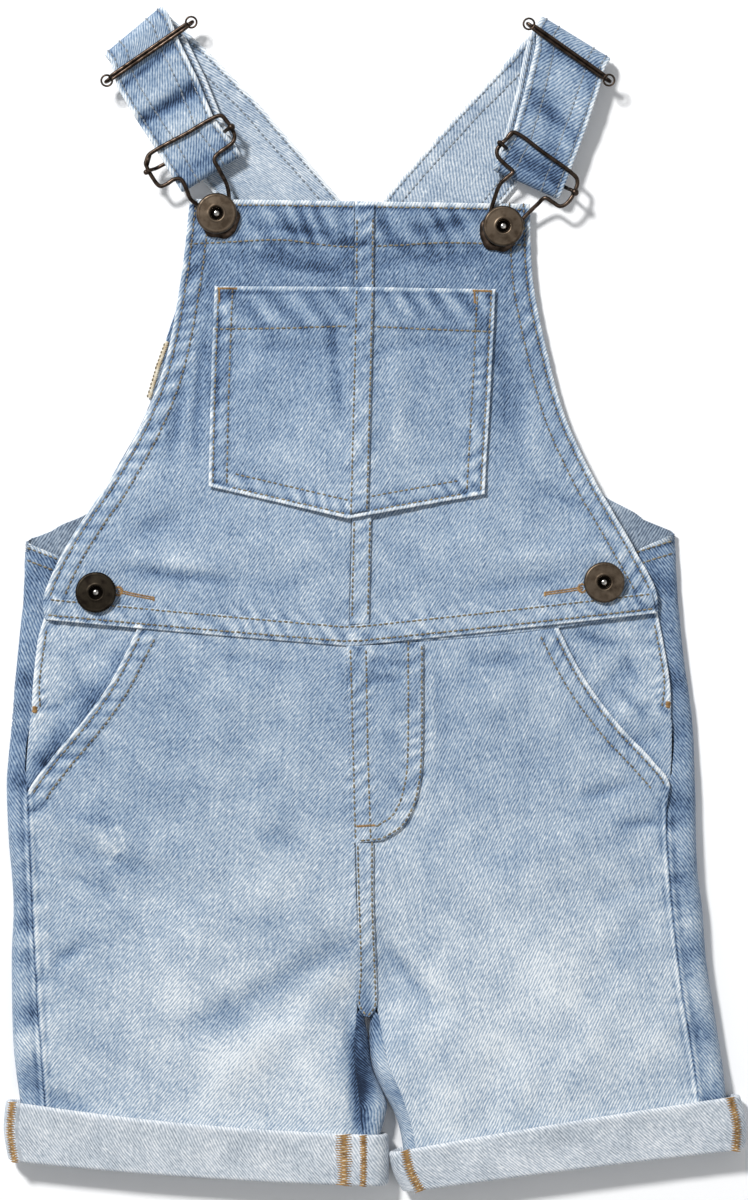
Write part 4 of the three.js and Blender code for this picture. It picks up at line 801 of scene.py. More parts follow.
# Closed cloth round a mid surface given as a grid of x, y and z: two faces and a rounded rim
def clothShell(name, grid, thick, weave, fade, inside, material, ring=False):
    middle = np.stack(grid, 2)
    rows, columns = middle.shape[:2]
    along = np.gradient(middle, axis=0)
    if ring:
        across = np.roll(middle, -1, 1) - np.roll(middle, 1, 1)
    else:
        across = np.gradient(middle, axis=1)
    normal = unit(np.cross(across, along))
    if normal[rows // 2, columns // 2, 2] < 0 and not ring:
        normal = -normal
    half = np.broadcast_to(np.asarray(thick, float) / 2, (rows, columns)).copy()
    nearest = []
    for axis in ((0,) if ring else (0, 1)):
        gap = np.linalg.norm(np.diff(middle, axis=axis), axis=2)
        run = np.cumsum(np.pad(gap, [(1, 0), (0, 0)] if axis == 0 else [(0, 0), (1, 0)]), axis=axis)
        nearest.append(np.minimum(run, (run[-1:] if axis == 0 else run[:, -1:]) - run))
    f = np.clip(np.min(nearest, axis=0) / np.maximum(half, 1e-6), 0, 1)
    half *= np.maximum(np.sqrt(np.clip(1 - (1 - f) ** 2, 0, 1)), 0.06)
    upper, lower = middle + normal * half[..., None], middle - normal * half[..., None]
    upper[..., 2], lower[..., 2] = np.maximum(upper[..., 2], 0.02), np.maximum(lower[..., 2], 0.02)
    count = rows * columns
    ids = np.arange(count).reshape(rows, columns)
    right = np.roll(ids, -1, 1) if ring else ids[:, 1:]
    left = ids if ring else ids[:, :-1]
    quad = lambda a, b, c, d: np.stack([a.ravel(), b.ravel(), c.ravel(), d.ravel()], 1)
    top = quad(left[:-1], right[:-1], right[1:], left[1:])
    faces = [top, top[:, ::-1] + count]
    for line, flip in ((0, True), (-1, False)):
        a, b = left[line], right[line]
        rimFaces = quad(a, b, b + count, a + count)
        faces.append(rimFaces[:, ::-1] if flip else rimFaces)
    if not ring:
        for line, flip in ((0, False), (-1, True)):
            a, b = ids[:-1, line], ids[1:, line]
            rimFaces = quad(a, b, b + count, a + count)
            faces.append(rimFaces[:, ::-1] if flip else rimFaces)
    points = np.concatenate([upper.reshape(-1, 3), lower.reshape(-1, 3)])
    faces = np.concatenate(faces)
    corner = points[faces]
    size = (np.einsum("ij,ij->i", corner[:, 0], np.cross(corner[:, 1], corner[:, 2]))
            + np.einsum("ij,ij->i", corner[:, 0], np.cross(corner[:, 2], corner[:, 3]))).sum()
    if size < 0:
        faces = faces[:, ::-1]
    flat = np.stack([weave[0].ravel(), weave[1].ravel(), np.zeros(count)], 1)
    both = lambda a, b: np.concatenate([np.broadcast_to(a, (rows, columns)).ravel(),
                                        np.broadcast_to(b, (rows, columns)).ravel()])
    upperInside, lowerInside = inside
    attributes = {"weave": np.concatenate([flat, flat]), "fade": both(fade, fade),
                  "inside": both(upperInside, lowerInside)}
    return newPiece(name, points, faces, attributes, material)


# Denim's own sizes. Its twill lines are too fine for the picture, so one is drawn every 1.08 mm, leaning to
# the right on the outside. grain counts the marks in every 100 mm of cloth: a fleck is 1.25 mm, a slub 1 mm
# wide and 20 mm long, a cloud of the wash 12 mm, a speck 1.3 mm. weights say how far each changes the tone
twill = {"spacing": 1.08, "lean": 33, "bump": 0.00026}
grain = {"wander": 16, "fleck": 80, "slub": 100, "cloud": 8.5, "speck": 75}
weights = {"line": 0.17, "fleck": 0.66, "slub": 0.20, "cloud": 0.34, "speck": 0.34}
denimColours = [(0.0, "1D2A3E"), (1.0, "EBEFF1"), (0.2, "3F5575"), (0.4, "6A829F"), (0.6, "95A8BC"),
                (0.8, "BDC8D2")]
insideColours = [(0.0, "39414B"), (1.0, "ECEEF0"), (0.3, "747F8A"), (0.6, "AAB4BE"), (0.8, "CBD1D8")]


def washedTwillDenim():
    # washed cotton twill: matt, with pale weft lines between indigo ones, clouded by the wash
    material, tree = newMaterial("washedCottonTwillDenim")
    weave = addNode(tree, "ShaderNodeAttribute", attribute_name="weave").outputs["Vector"]
    # fade: the tone on the ramp, from wear and also from painted shade and light in creases, hollows and
    # folds
    fade = addNode(tree, "ShaderNodeAttribute", attribute_name="fade").outputs["Fac"]
    inside = addNode(tree, "ShaderNodeAttribute", attribute_name="inside").outputs["Fac"]
    lean = math.radians(twill["lean"])
    # the twill line: a wave across the lean, whose place wanders a little so that no line is ruler straight
    across = addNode(tree, "ShaderNodeVectorMath", {0: weave, 1: (math.cos(lean), -math.sin(lean), 0)},
                     operation="DOT_PRODUCT").outputs["Value"]
    wander = addNode(tree, "ShaderNodeTexNoise",
                     {"Vector": weave, "Scale": grain["wander"] / 100, "Detail": 3.0})
    drift = addNode(tree, "ShaderNodeMath", {0: wander, 1: 7.0}, operation="MULTIPLY")
    phase = addNode(tree, "ShaderNodeMath", {0: across, 1: 2 * math.pi / twill["spacing"], 2: drift},
                    operation="MULTIPLY_ADD")
    line = addNode(tree, "ShaderNodeMath", {0: phase}, operation="SINE")
    # flecks along the twill, slubs along the warp, wash clouds and specks of bare weft
    turned = addNode(tree, "ShaderNodeVectorRotate", {"Vector": weave, "Angle": lean},
                     rotation_type="Z_AXIS")
    fleckPlace = addNode(tree, "ShaderNodeVectorMath", {0: turned, 1: (1.5, 0.55, 1)}, operation="MULTIPLY")
    slubPlace = addNode(tree, "ShaderNodeVectorMath", {0: weave, 1: (1.1, 0.05, 1)}, operation="MULTIPLY")
    fields = {
        name: addNode(tree, "ShaderNodeTexNoise",
                      {"Vector": place, "Scale": grain[name] / 100, "Detail": detail})
        for name, place, detail in (("fleck", fleckPlace, 2.5), ("slub", slubPlace, 1.5),
                                    ("cloud", weave, 4.0), ("speck", weave, 2.0))
    }
    tone = addNode(tree, "ShaderNodeMath", {0: line, 1: weights["line"], 2: fade}, operation="MULTIPLY_ADD")
    for name, field in fields.items():
        centred = addNode(tree, "ShaderNodeMath", {0: field, 1: 0.5}, operation="SUBTRACT")
        tone = addNode(tree, "ShaderNodeMath", {0: centred, 1: weights[name], 2: tone},
                       operation="MULTIPLY_ADD")
    outer = addNode(tree, "ShaderNodeValToRGB", {"Fac": tone}, stops=denimColours)
    inner = addNode(tree, "ShaderNodeValToRGB", {"Fac": tone}, stops=insideColours)
    colour = addNode(tree, "ShaderNodeMix", {0: inside, 6: outer, 7: inner}, data_type="RGBA").outputs[2]
    relief = addNode(tree, "ShaderNodeMath", {0: line, 1: 0.3, 2: fields["fleck"]},
                     operation="MULTIPLY_ADD")
    bump = addNode(tree, "ShaderNodeBump", {"Height": relief, "Strength": 0.6, "Distance": twill["bump"]})
    surface = addNode(tree, "ShaderNodeBsdfPrincipled",
                      {"Base Color": colour, "Roughness": 0.92, "IOR": 1.46, "Specular IOR Level": 0.25,
                       "Sheen Weight": 0.08, "Sheen Roughness": 0.5, "Normal": bump})
    addNode(tree, "ShaderNodeOutputMaterial", {"Surface": surface})
    return material


# Marks in every metre of a surface: a thread's mottles are 2.4 mm long, a metal's blotches 2 to 3.3 mm
threadMottles = 420


def spunThread(name, colour, dark):
    # spun polyester-cotton thread: a soft sheen, mottled where the wash has rubbed it
    material, tree = newMaterial(name)
    place = addNode(tree, "ShaderNodeTexCoord").outputs["Object"]
    mottle = addNode(tree, "ShaderNodeTexNoise", {"Vector": place, "Scale": threadMottles, "Detail": 3.0})
    blend = addNode(tree, "ShaderNodeValToRGB", {"Fac": mottle}, stops=[(0.32, dark), (0.66, colour)])
    surface = addNode(tree, "ShaderNodeBsdfPrincipled",
                      {"Base Color": blend, "Roughness": 0.75, "IOR": 1.5, "Sheen Weight": 0.15})
    addNode(tree, "ShaderNodeOutputMaterial", {"Surface": surface})
    return material


def antiquedMetal(name, light, dark, roughness, blotches):
    # plated and antiqued metal: rubbed bright in places, dark and dull where the finish stays
    material, tree = newMaterial(name)
    place = addNode(tree, "ShaderNodeTexCoord").outputs["Object"]
    blotch = addNode(tree, "ShaderNodeTexNoise", {"Vector": place, "Scale": blotches, "Detail": 5.0})
    colour = addNode(tree, "ShaderNodeValToRGB", {"Fac": blotch}, stops=[(0.36, dark), (0.66, light)])
    rough = addNode(tree, "ShaderNodeMapRange",
                    {0: blotch, 1: 0.3, 2: 0.7, 3: roughness + 0.15, 4: roughness - 0.08})
    bump = addNode(tree, "ShaderNodeBump", {"Height": blotch, "Strength": 0.3, "Distance": 0.00008})
    surface = addNode(tree, "ShaderNodeBsdfPrincipled",
                      {"Base Color": colour, "Metallic": 1.0, "Roughness": rough, "Normal": bump})
    addNode(tree, "ShaderNodeOutputMaterial", {"Surface": surface})
    return material


denim = washedTwillDenim()
# washed khaki topstitching, a quiet line that is darker than the cloth
topThread = spunThread("spunTopstitchThread", "90866F", "5E5544")
# the straps' rows have faded to the grey of the cloth
fadedThread = spunThread("spunFadedThread", "939A9F", "66707C")
# golden bar tacks and overlocking, the one warm colour
ochreThread = spunThread("spunOchreThread", "B58D55", "7C5A2C")
# cream looper thread, pale over the ochre
creamThread = spunThread("spunLooperThread", "E2DBC8", "B9A27C")
# antiqued brass: brown and worn, with a dull glint on the rims
bibBrass = antiquedMetal("antiquedBrass", "736556", "493E33", 0.40, blotches=320)
# blackened brass: the same button before its finish wears off
sideBrass = antiquedMetal("blackenedBrass", "40392F", "201B17", 0.40, blotches=320)
# dark antique plating on bent steel wire: a thin bright line along each rod
plating = antiquedMetal("darkAntiquePlating", "5A4C42", "2E2620", 0.34, blotches=420)
# polished nickel: the bright point in each button's centre
nickel = antiquedMetal("polishedNickel", "DAD7D2", "9A968F", 0.2, blotches=300)
# painted shade at the foot of the well: a black ring round the pin
wellShade = antiquedMetal("paintedShadeWell", "16120F", "0A0807", 0.6, blotches=500)
print("materials made")


# How high each layer's middle lies. The panels lie on lift itself, the others over or under them
def underPocketEdge(x, y):
    return lift(x, y) - cloth["denim"] - cloth["apart"]


def onPanel(x, y):
    return lift(x, y) + cloth["denim"] / 2 + cloth["apart"] + cloth["band"] / 2


def onBib(x, y):
    bulge = pocketBulge["rise"] * bell(x - pocketBulge["x"], pocketBulge["wide"])
    return lift(x, y) + cloth["denim"] + cloth["apart"] + bulge


def onPocket(x, y):
    return onBib(x, y) + cloth["denim"] / 2 + cloth["apart"] + cloth["band"] / 2


def sideStrip(x, y):
    return lift(x, y) - stripDrop(y)


# Folds die away round the buttons, from calmTo inwards to calmFrom, so that no cloth reaches the metal
buttonPlaces = {"button_bib_left": (-64.9, 157.6), "button_bib_right": (52.6, 152.4),
                "button_side_left": (-114.2, 2.3), "button_side_right": (93.8, 6.4)}
calmFrom, calmTo = 6, 13


def calm(x, y):
    keep = np.ones(np.shape(x))
    for bx, by in buttonPlaces.values():
        keep = np.minimum(keep, smoothStep(calmFrom, calmTo, np.hypot(x - bx, y - by)))
    return keep


def finishPiece(piece, node):
    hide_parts(node)
    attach(piece, "root")


def cutOf(x, y):
    # the flat cut of a panel: its box and its area, in metres
    dx, dy = np.gradient(x), np.gradient(y)
    area = np.abs(dx[1] * dy[0] - dx[0] * dy[1]).sum() * metre ** 2
    # a felled band is cut at least a centimetre wide, its edges turned under
    wide, tall = max(np.ptp(x) * metre, 0.01), np.ptp(y) * metre
    return (round(float(wide), 4), round(float(tall), 4)), float(min(area, wide * tall))


# Painted shade in the hollow beside a pocket's edge and under the waist
pocketShade = {"tone": 0.12, "wide": 2.2, "spread": 20, "waistWide": 2.5, "from": -8, "to": -46}


def frontPiece(node, rows, height, names, seamsOf=None, thick=None, tone=0.0, under=None,
               pooledShade=0.0, lean=0):
    x, y = panelGrid(rows, seamsOf)
    fine, pale = seamFields(x, y, names)
    z = height(x, y) + sharedHeight(x, y) * calm(x, y) + fine * calm(x, y)
    fade = wearAndShadeAt(x, y) + pale + tone
    # painted shade beside the pocket's slanted edge, deeper further down, and a line of it under the waist
    # band
    if under is not None:
        apart = alongLine(x, y, *smoothLine(under))[0]
        deep = smoothStep(pocketShade["from"], pocketShade["to"], y)
        reach = pocketShade["wide"] + pocketShade["spread"] * pooledShade * (0.4 + 0.6 * deep)
        fade = fade - (pocketShade["tone"] + pooledShade * deep) * bell(apart, reach)
        fromWaist = alongLine(x, y, *smoothLine(rowOf(waistRows, 0)))[0]
        fade = fade - pocketShade["tone"] * bell(fromWaist, pocketShade["waistWide"])
    # the warp doesn't hang quite straight down every panel
    turn = math.radians(lean)
    weave = (x * math.cos(turn) - y * math.sin(turn), x * math.sin(turn) + y * math.cos(turn))
    piece = clothShell(node + "_cloth", (x, y, z), thick or cloth["denim"], weave, fade, (0.0, 1.0), denim)
    flat, area = cutOf(x, y)
    finishPiece(piece, node)


halfSeam, halfInseam = cloth["halfSeam"], cloth["halfInseam"]
pocketFoot = -80
frontPiece("front_left", frontLeftRows, lift, bodySeams,
           {"a": seamOn(leftSideSeam, halfSeam, pocketFoot), "b": seamOn(leftLegSeam, -halfInseam)},
           lean=6)
frontPiece("front_right", frontRightRows, lift, bodySeams,
           {"a": seamOn(rightLegSeam, halfInseam), "b": seamOn(rightSideSeam, -halfSeam, pocketFoot)},
           lean=-7)
frontPiece("hip_facing_left", facingLeftRows, underPocketEdge,
           ["leftSide", "waist", "ventLeft"], {"a": seamOn(leftSideSeam, halfSeam)},
           tone=0.09, under=hipLeftEdge, pooledShade=0.22)
frontPiece("hip_facing_right", facingRightRows, underPocketEdge,
           ["rightSide", "waist", "ventRight"], {"b": seamOn(rightSideSeam, -halfSeam)},
           tone=0.04, under=hipRightEdge, pooledShade=0.03)
bibNames = ["bibLeft", "bibRight", "bibTop", "waist", "bibCentre"]
frontPiece("bib_left", bibLeftRows, lift, bibNames)
frontPiece("bib_right", bibRightRows, lift, bibNames)
frontPiece("bib_pocket", pocketRows, onBib, pocketSeams)
# its lower edge hangs a little over the gap between bib and shorts
waistRows["ay"], waistRows["my"], waistRows["by"] = (waistRows[key] - [drop, 0] for key, drop in
                                                     (("ay", 0.7), ("my", 0.4), ("by", 1.2)))
frontPiece("waist_seam", waistRows, onPanel, bandSeams, thick=cloth["band"], tone=0.03)
frontPiece("bib_seam", bibSeamRows, onPanel, bodySeams, thick=cloth["band"], tone=0.03)
frontPiece("pocket_seam", pocketSeamRows, onPocket, pocketSeams, thick=cloth["band"],
           tone=0.03)
frontPiece("front_seam", frontSeamRows, onPanel, bodySeams, thick=cloth["band"])
frontPiece("fly", flyRows, onPanel, bodySeams, thick=cloth["band"], tone=-0.01)
print("front pieces made")

# Blue and pale bars across the side strips, where the side seam has drawn the cloth up: where each lies,
# how wide it is and its tone. The tone is painted shade in the troughs and painted light on the ridges
sideBars = {
    "back_left": table(
        "y wide pale", (-58, 5, -0.18), (-76, 6, -0.2), (-90, 4, 0.1), (-122, 4, -0.16), (-135, 3.5, -0.2),
        (-146, 4, 0.1), (-151, 4, -0.18), (-162, 6, 0.08), (-173, 6, -0.22), (-186, 6, 0.1),
        (-198, 5, -0.24), (-19, 8, 0.06), (-36.6, 4, -0.2), (-47, 4, -0.12), (8, 4, -0.14)),
    "back_right": table(
        "y wide pale", (7, 4, -0.16), (-31, 6, -0.24), (-52, 5, -0.18), (-68, 4, 0.1), (-84, 5, -0.16),
        (-100, 6, 0.08), (-114, 4, -0.18), (-130, 4, 0.08), (-142, 5, -0.2), (-160, 6, 0.08),
        (-176, 5, -0.18), (-190, 6, 0.08), (-204, 5, -0.16)),
}


# The armhole hems where the back wraps round the sides: a rolled pale edge with two rows of stitches
wrapLeft, wrapRight = [(-144.0, 22.6), (-129.7, 17.2)], [(123.2, 25.4), (108.6, 20.8)]
for name, points, side in (("wrapLeft", wrapLeft, 1), ("wrapRight", wrapRight, -1)):
    addHem(name, points, side, 7, (), raised=0.2, edge=0.36, pitch=5, height=0.15, fadeOut=3)


def backPiece(node, rows, inseam, side, seamsOf, bars, tone):
    p, x, y, z, over = backGrid(rows, inseam, side, seamsOf)
    fine, pale = seamFields(x, y, ["leftSide", "rightSide", "wrapLeft", "wrapRight"])
    barTone, barRise = np.zeros(x.shape), np.zeros(x.shape)
    # painted shade and light across the folds of the side strips, with the folds' rise
    for by, wide, shade in zip(*bars.values()):
        slant = 0.12 * (x - np.median(x))
        near = bell(y + slant * 0.2 - by + 1.5 * noiseAt(x / 6, y / 9), wide)
        barTone, barRise = barTone + shade * near, barRise + 2.2 * shade * near
    flatOnFloor = 1 - over
    z = z + over * (fine + barRise + 0.5 * sharedHeight(x, y)) * smoothStep(-238, -212, y)
    fade = np.where(over > 0.02, wearAndShadeAt(x, y) + tone + over * (barTone + pale),
                    0.44 + 0.06 * noiseAt(x / 11, y / 14))
    # on the floor the upper face is the inside of the cloth; round the fold its outside comes up
    piece = clothShell(node + "_cloth", (x, y, z), cloth["denim"], (p, y), fade, (0.6 * flatOnFloor, 0.0),
                       denim)
    flat, area = cutOf(p, y)
    finishPiece(piece, node)


foldsOf = {
    "left": (Fold(leftInseam, 1, lift), Fold(leftEdge, -1, sideStrip)),
    "right": (Fold(rightInseam, -1, lift), Fold(rightEdge, 1, sideStrip)),
}
backPiece("back_left", backLeftRows, *foldsOf["left"],
          {"inner": seamOn(leftLegSeam, halfInseam), "outer": seamOn(leftSideSeam, -halfSeam, -72)},
          sideBars["back_left"], -0.14)
backPiece("back_right", backRightRows, *foldsOf["right"],
          {"inner": seamOn(rightLegSeam, -halfInseam), "outer": seamOn(rightSideSeam, halfSeam, -72)},
          sideBars["back_right"], -0.16)
print("back pieces made")

# Cuffs: the hems turned up, so their pale inside shows, a ring of cloth with a rolled upper rim. The front
# is divided every 1.3 mm, and turns are the divisions round each end
cuffLook = {"front": 111, "turns": 14, "along": 26, "tone": 0.72, "shaded": 0.34, "rubbed": 0.14}
cuffDents = {
    "cuff_left": table(
        "x wide deep", (-118, 5, 0.8), (-66, 4, 0.6), (-58, 3, 0.4), (-40, 5, 0.4), (-18, 4, 0.5),
        (-96, 7, 0.3), (-138, 4, 0.3)),
    "cuff_right": table(
        "x wide deep", (30, 5, 0.5), (52, 4, 0.4), (76, 5, 0.5), (98, 4, 0.4), (118, 5, 0.5),
        (134, 4, 0.4)),
}


def cuffGrid(rows, dents):
    t = np.linspace(0, 1, cuffLook["along"])
    # closer rows at both rims, where the cloth rolls over
    t = 0.5 - 0.5 * np.cos(math.pi * t) * (0.35 + 0.65 * np.abs(np.cos(math.pi * t))) ** 0.15
    at = {key: splineAt(rows[key], t)[:, None] for key in rows}
    wall = cloth["turnUp"]
    high = lambda x, y: lift(x, y) + cloth["denim"] / 2 + cloth["apart"] + wall / 2
    low = wall / 2
    start = at["lx"] + (high(at["lx"], at["ly"]) - low) / 2 + wall / 2
    end = at["rx"] - (high(at["rx"], at["ry"]) - low) / 2 - wall / 2

    def lineY(x, below):
        f = (x - at["lx"]) / (at["rx"] - at["lx"])
        return (at["ly"] + (at["ry"] - at["ly"]) * f + at["bow"] * 4 * f * (1 - f)
                + at["backDrop"] * below * np.sin(math.pi * np.clip(f, 0, 1)))
    f = np.linspace(0, 1, cuffLook["front"], endpoint=False)[None, :]
    g = np.linspace(0, 1, cuffLook["turns"], endpoint=False)[None, :]
    frontX = start + (end - start) * f
    frontY = lineY(frontX, 0)
    slanted = frontX + 0.3 * (frontY + 225)
    dent = sum(deep * bell(slanted - x, wide) for x, wide, deep in zip(*dents.values()))
    ripple = 0.3 * noiseAt(frontX / 11, frontY / 8 + 3)
    belowRim = np.clip((t[:, None] - 0.06) / 0.94, 0, 1)
    frontZ = high(frontX, frontY) + (ripple - dent) * np.sin(math.pi * belowRim)
    rightR = (high(end, lineY(end, 0)) - low) / 2
    rightX, rightSide = end + rightR * np.sin(math.pi * g), g
    rightZ = low + rightR * (1 + np.cos(math.pi * g))
    backX = end + (start - end) * f
    backZ = np.full(backX.shape, low)
    leftR = (high(start, lineY(start, 0)) - low) / 2
    leftX, leftSide = start - leftR * np.sin(math.pi * g), 1 - g
    leftZ = low + leftR * (1 - np.cos(math.pi * g))
    x = np.concatenate([frontX, rightX, backX, leftX], 1)
    y = np.concatenate([frontY, lineY(rightX, rightSide), lineY(backX, 1), lineY(leftX, leftSide)], 1)
    z = np.concatenate([frontZ, rightZ, backZ, leftZ], 1)
    return x, y, z


cuffShapes = {}
for name, rows in cuffRows.items():
    x, y, z = cuffGrid(rows, cuffDents[name])
    cuffShapes[name] = (x, y, z)
    gap = np.hypot(np.hypot(np.diff(x, axis=1), np.diff(y, axis=1)), np.diff(z, axis=1))
    girth = np.cumsum(np.pad(gap, ((0, 0), (1, 0))), axis=1)
    rise = np.cumsum(np.pad(np.hypot(np.diff(x, axis=0), np.diff(y, axis=0)), ((1, 0), (0, 0))), axis=0)
    fade = cuffLook["tone"] + 0.05 * noiseAt(x / 14, y / 10) + 0.03 * noiseAt(x / 4, y / 5)
    # the back of the cuff lies in shade
    bend = cuffLook["turns"] - 1
    fade[:, cuffLook["front"] + bend:-bend] -= cuffLook["shaded"]
    edge = np.minimum(rise, rise[-1:] - rise)
    fade = fade + cuffLook["rubbed"] * bell(edge, 1.3)
    piece = clothShell(name + "_cloth", (x, y, z), cloth["turnUp"], (-girth, -rise), fade, (1.0, 1.0),
                       denim, ring=True)
    finishPiece(piece, name)
print("cuffs made")

# Shoulder straps: dents across them, and the edge turned over and stitched all along. hem is how far in
# from the edge the turned cloth reaches, and rows are the two rows of stitches
strapLook = {"along": 1.25, "across": 1.2, "hem": (7.2, 8.4), "hemRise": 0.28, "rows": (2.2, 8.2),
             "dip": 0.18, "dipWide": 0.7, "foldSteps": 16, "tone": 0.57, "faded": 0.09, "rubbed": 0.34}
# Dents across the straps: their tones are painted shade in the troughs and painted light on the ridges, and
# the dark line under the left slider's rods is its painted shadow
strapCreases = {
    "strap_left": table(
        "x0 y0 x1 y1 rise wide pale", (-100.5, 192, -75, 209, -1.6, 2.6, -0.42),
        (-98, 199, -84, 208, 0.5, 3.5, 0.08), (-84, 190, -70, 197, 0.5, 4, 0.1),
        (-80, 169, -58, 182, -0.6, 5, -0.22), (-103, 210, -82, 227, -0.6, 1.8, -0.38),
        (-98, 186, -92, 176, -0.4, 3, -0.14), (-84, 202, -66, 208, -0.5, 4, -0.18),
        (-76, 172, -64, 180, 0.4, 3, 0.06)),
    "strap_right": table(
        "x0 y0 x1 y1 rise wide pale", (64, 206, 84, 188, -0.8, 3, -0.22),
        (70, 214, 74, 176, -0.5, 4, -0.14), (66, 216, 88, 202, 0.5, 4, 0.08),
        (60, 196, 78, 184, 0.4, 4, 0.06), (52, 186, 76, 170, -0.7, 4, -0.26),
        (72, 226, 90, 214, -0.6, 3, -0.2)),
}


def strapStations(strap):
    stations = []

    def straight(rows, z):
        for ox, oy, nx, ny in zip(*rows.values()):
            stations.append((ox, oy, nx, ny, z))

    def fold(line, z0, z1, before):
        r = (z1 - z0) / 2
        reach = abs(r) + cloth["denim"] / 2
        outer = np.array([line["ox"][0], line["oy"][0]])
        inner = np.array([line["nx"][0], line["ny"][0]])
        across = unit(inner - outer)
        normal = np.array([-across[1], across[0]])
        normal = normal * np.sign(np.dot(before - outer, normal))
        for turn in np.linspace(0, math.pi, strapLook["foldSteps"] + 1):
            inset = normal * (reach - abs(r) * math.sin(turn))
            stations.append((*(outer + inset), *(inner + inset), z0 + r * (1 - math.cos(turn))))
    front, bottom = strap["front"], strap["bottom"]
    straight(strap["back"], strapHeight["back"])
    fold(strap["shoulder"], strapHeight["back"], strapHeight["front"],
         np.array([front["ox"][0], front["oy"][0]]))
    straight(front, strapHeight["front"])
    fold(bottom, strapHeight["front"], strapHeight["under"], np.array([front["ox"][-1], front["oy"][-1]]))
    straight(strap["under"], strapHeight["under"])
    return np.array(stations)


strapGrids = {}
for name, strap in straps.items():
    stations = strapStations(strap)
    middles = np.stack([(stations[:, 0] + stations[:, 2]) / 2, (stations[:, 1] + stations[:, 3]) / 2,
                        stations[:, 4]], 1)
    run = runOf(middles)
    where = stopsFor(run[-1], strapLook["along"])[:, None] * run[-1]
    ends = [np.interp(where[:, 0], run, stations[:, k])[:, None] for k in range(5)]
    widths = np.hypot(ends[2] - ends[0], ends[3] - ends[1])
    s = stopsFor(widths.max(), strapLook["across"])[None, :]
    x, y = ends[0] + (ends[2] - ends[0]) * s, ends[1] + (ends[3] - ends[1]) * s
    z = ends[4] + 0 * x
    backStations = len(strap["back"]["ox"])
    frontFrom = backStations + strapLook["foldSteps"]
    onTop = np.clip((run[frontFrom] - where) / -4, 0, 1)
    bottomAt = run[frontFrom + len(strap["front"]["ox"]) + 1]
    onTop = onTop * np.clip((bottomAt - where) / 4, 0, 1) * np.ones(s.shape)
    fromEdge = np.minimum(s, 1 - s) * widths
    hem = strapLook["hemRise"] * (1 - smoothStep(*strapLook["hem"], fromEdge))
    groove = strapLook["dip"] * sum(bell(fromEdge - row, strapLook["dipWide"])
                                    for row in strapLook["rows"])
    dent, pale = np.zeros(x.shape), np.zeros(x.shape)
    for x0, y0, x1, y1, rise, wide, tone in zip(*strapCreases[name].values()):
        apart, f = toSegment(x, y, x0, y0, x1, y1)
        near = bell(apart, wide) * onTop
        dent, pale = dent + rise * near, pale + tone * near
    ripple = np.sin(2 * math.pi * (where + 0.8 * fromEdge) / 8.5 + 2 * noiseAt(where / 19, 0 * where))
    edgeWave = ripple * bell(fromEdge, 6)
    rising = np.where(where < bottomAt + 6, 1.0, 0.0)
    z = z + onTop * (dent + hem - groove + 0.14 * edgeWave + 0.2 * noiseAt(x / 9, y / 9))
    lowPart = (where < run[backStations - 1]) * 1.0
    z = z + lowPart * (0.4 + 0.3 * noiseAt(x / 13, y / 13) + 0.5 * hem - 0.5 * groove)
    fade = (strapLook["tone"] + strapLook["faded"] * lowPart + pale + 0.08 * edgeWave * rising
            + 0.05 * noiseAt(x / 8, y / 8))
    fade = fade + strapLook["rubbed"] * bell(np.maximum(fromEdge - 0.8, 0), 0.7)
    # a line of painted shade in the groove just inside the rubbed edge
    fade = fade - 0.16 * bell(fromEdge - 2.6, 0.7) * (1 - 0.6 * lowPart)
    # the bottom fold is in shade, and blue
    fade = fade - 0.12 * bell(np.maximum(bottomAt - 3 - where, 0), 5) * rising
    u, v = s * widths, where + 0 * s
    if name == "strap_right":
        # cut the other way up, so its twill leans the other way, and a little bluer
        u = -u
        fade = fade - 0.06 * (1 - lowPart)
    piece = clothShell(name + "_cloth", (x, y, z), cloth["denim"], (u, -v), fade, (0.0, 0.25), denim)
    strapGrids[name] = {"x": x, "y": y, "z": z, "s": s, "widths": widths}
    long, wide = float(run[-1] * metre), float(widths.mean() * metre)
    finishPiece(piece, name)
print("straps made")

# Sewing. A stitch is a short soft capsule of thread that dips into the cloth at both ends; wide is half its
# width, and clear is how far from a button's middle the sewing stops. A tack's stitches lie side by side
stitch = {"pitch": 2.3, "long": 2.15, "wide": 0.39, "sink": 0.12, "jitter": 0.12, "clear": 6.5}
tack = {"pitch": 0.46, "long": 1.5, "wide": 0.23, "slant": 0.12}
threadRandom = np.random.RandomState(11)


def frontSurface(height, names, thick):
    def place(x, y):
        fine = seamFields(x, y, names)[0]
        z = height(x, y) + (sharedHeight(x, y) + fine) * calm(x, y) + thick / 2
        return np.stack([x, y, z], -1)
    return place


def gridSurface(x, y, z, out):
    points = np.stack([x, y, z], 2)

    def place(u, v):
        u, v = np.clip(u, 0, x.shape[1] - 1.001), np.clip(v, 0, x.shape[0] - 1.001)
        i, j = u.astype(int), v.astype(int)
        f, g = (u - i)[:, None], (v - j)[:, None]
        at = (points[j, i] * (1 - f) + points[j, i + 1] * f) * (1 - g)
        at = at + (points[j + 1, i] * (1 - f) + points[j + 1, i + 1] * f) * g
        across = points[j, i + 1] - points[j, i]
        along = points[j + 1, i] - points[j, i]
        return at + unit(np.cross(across, along)) * out
    return place


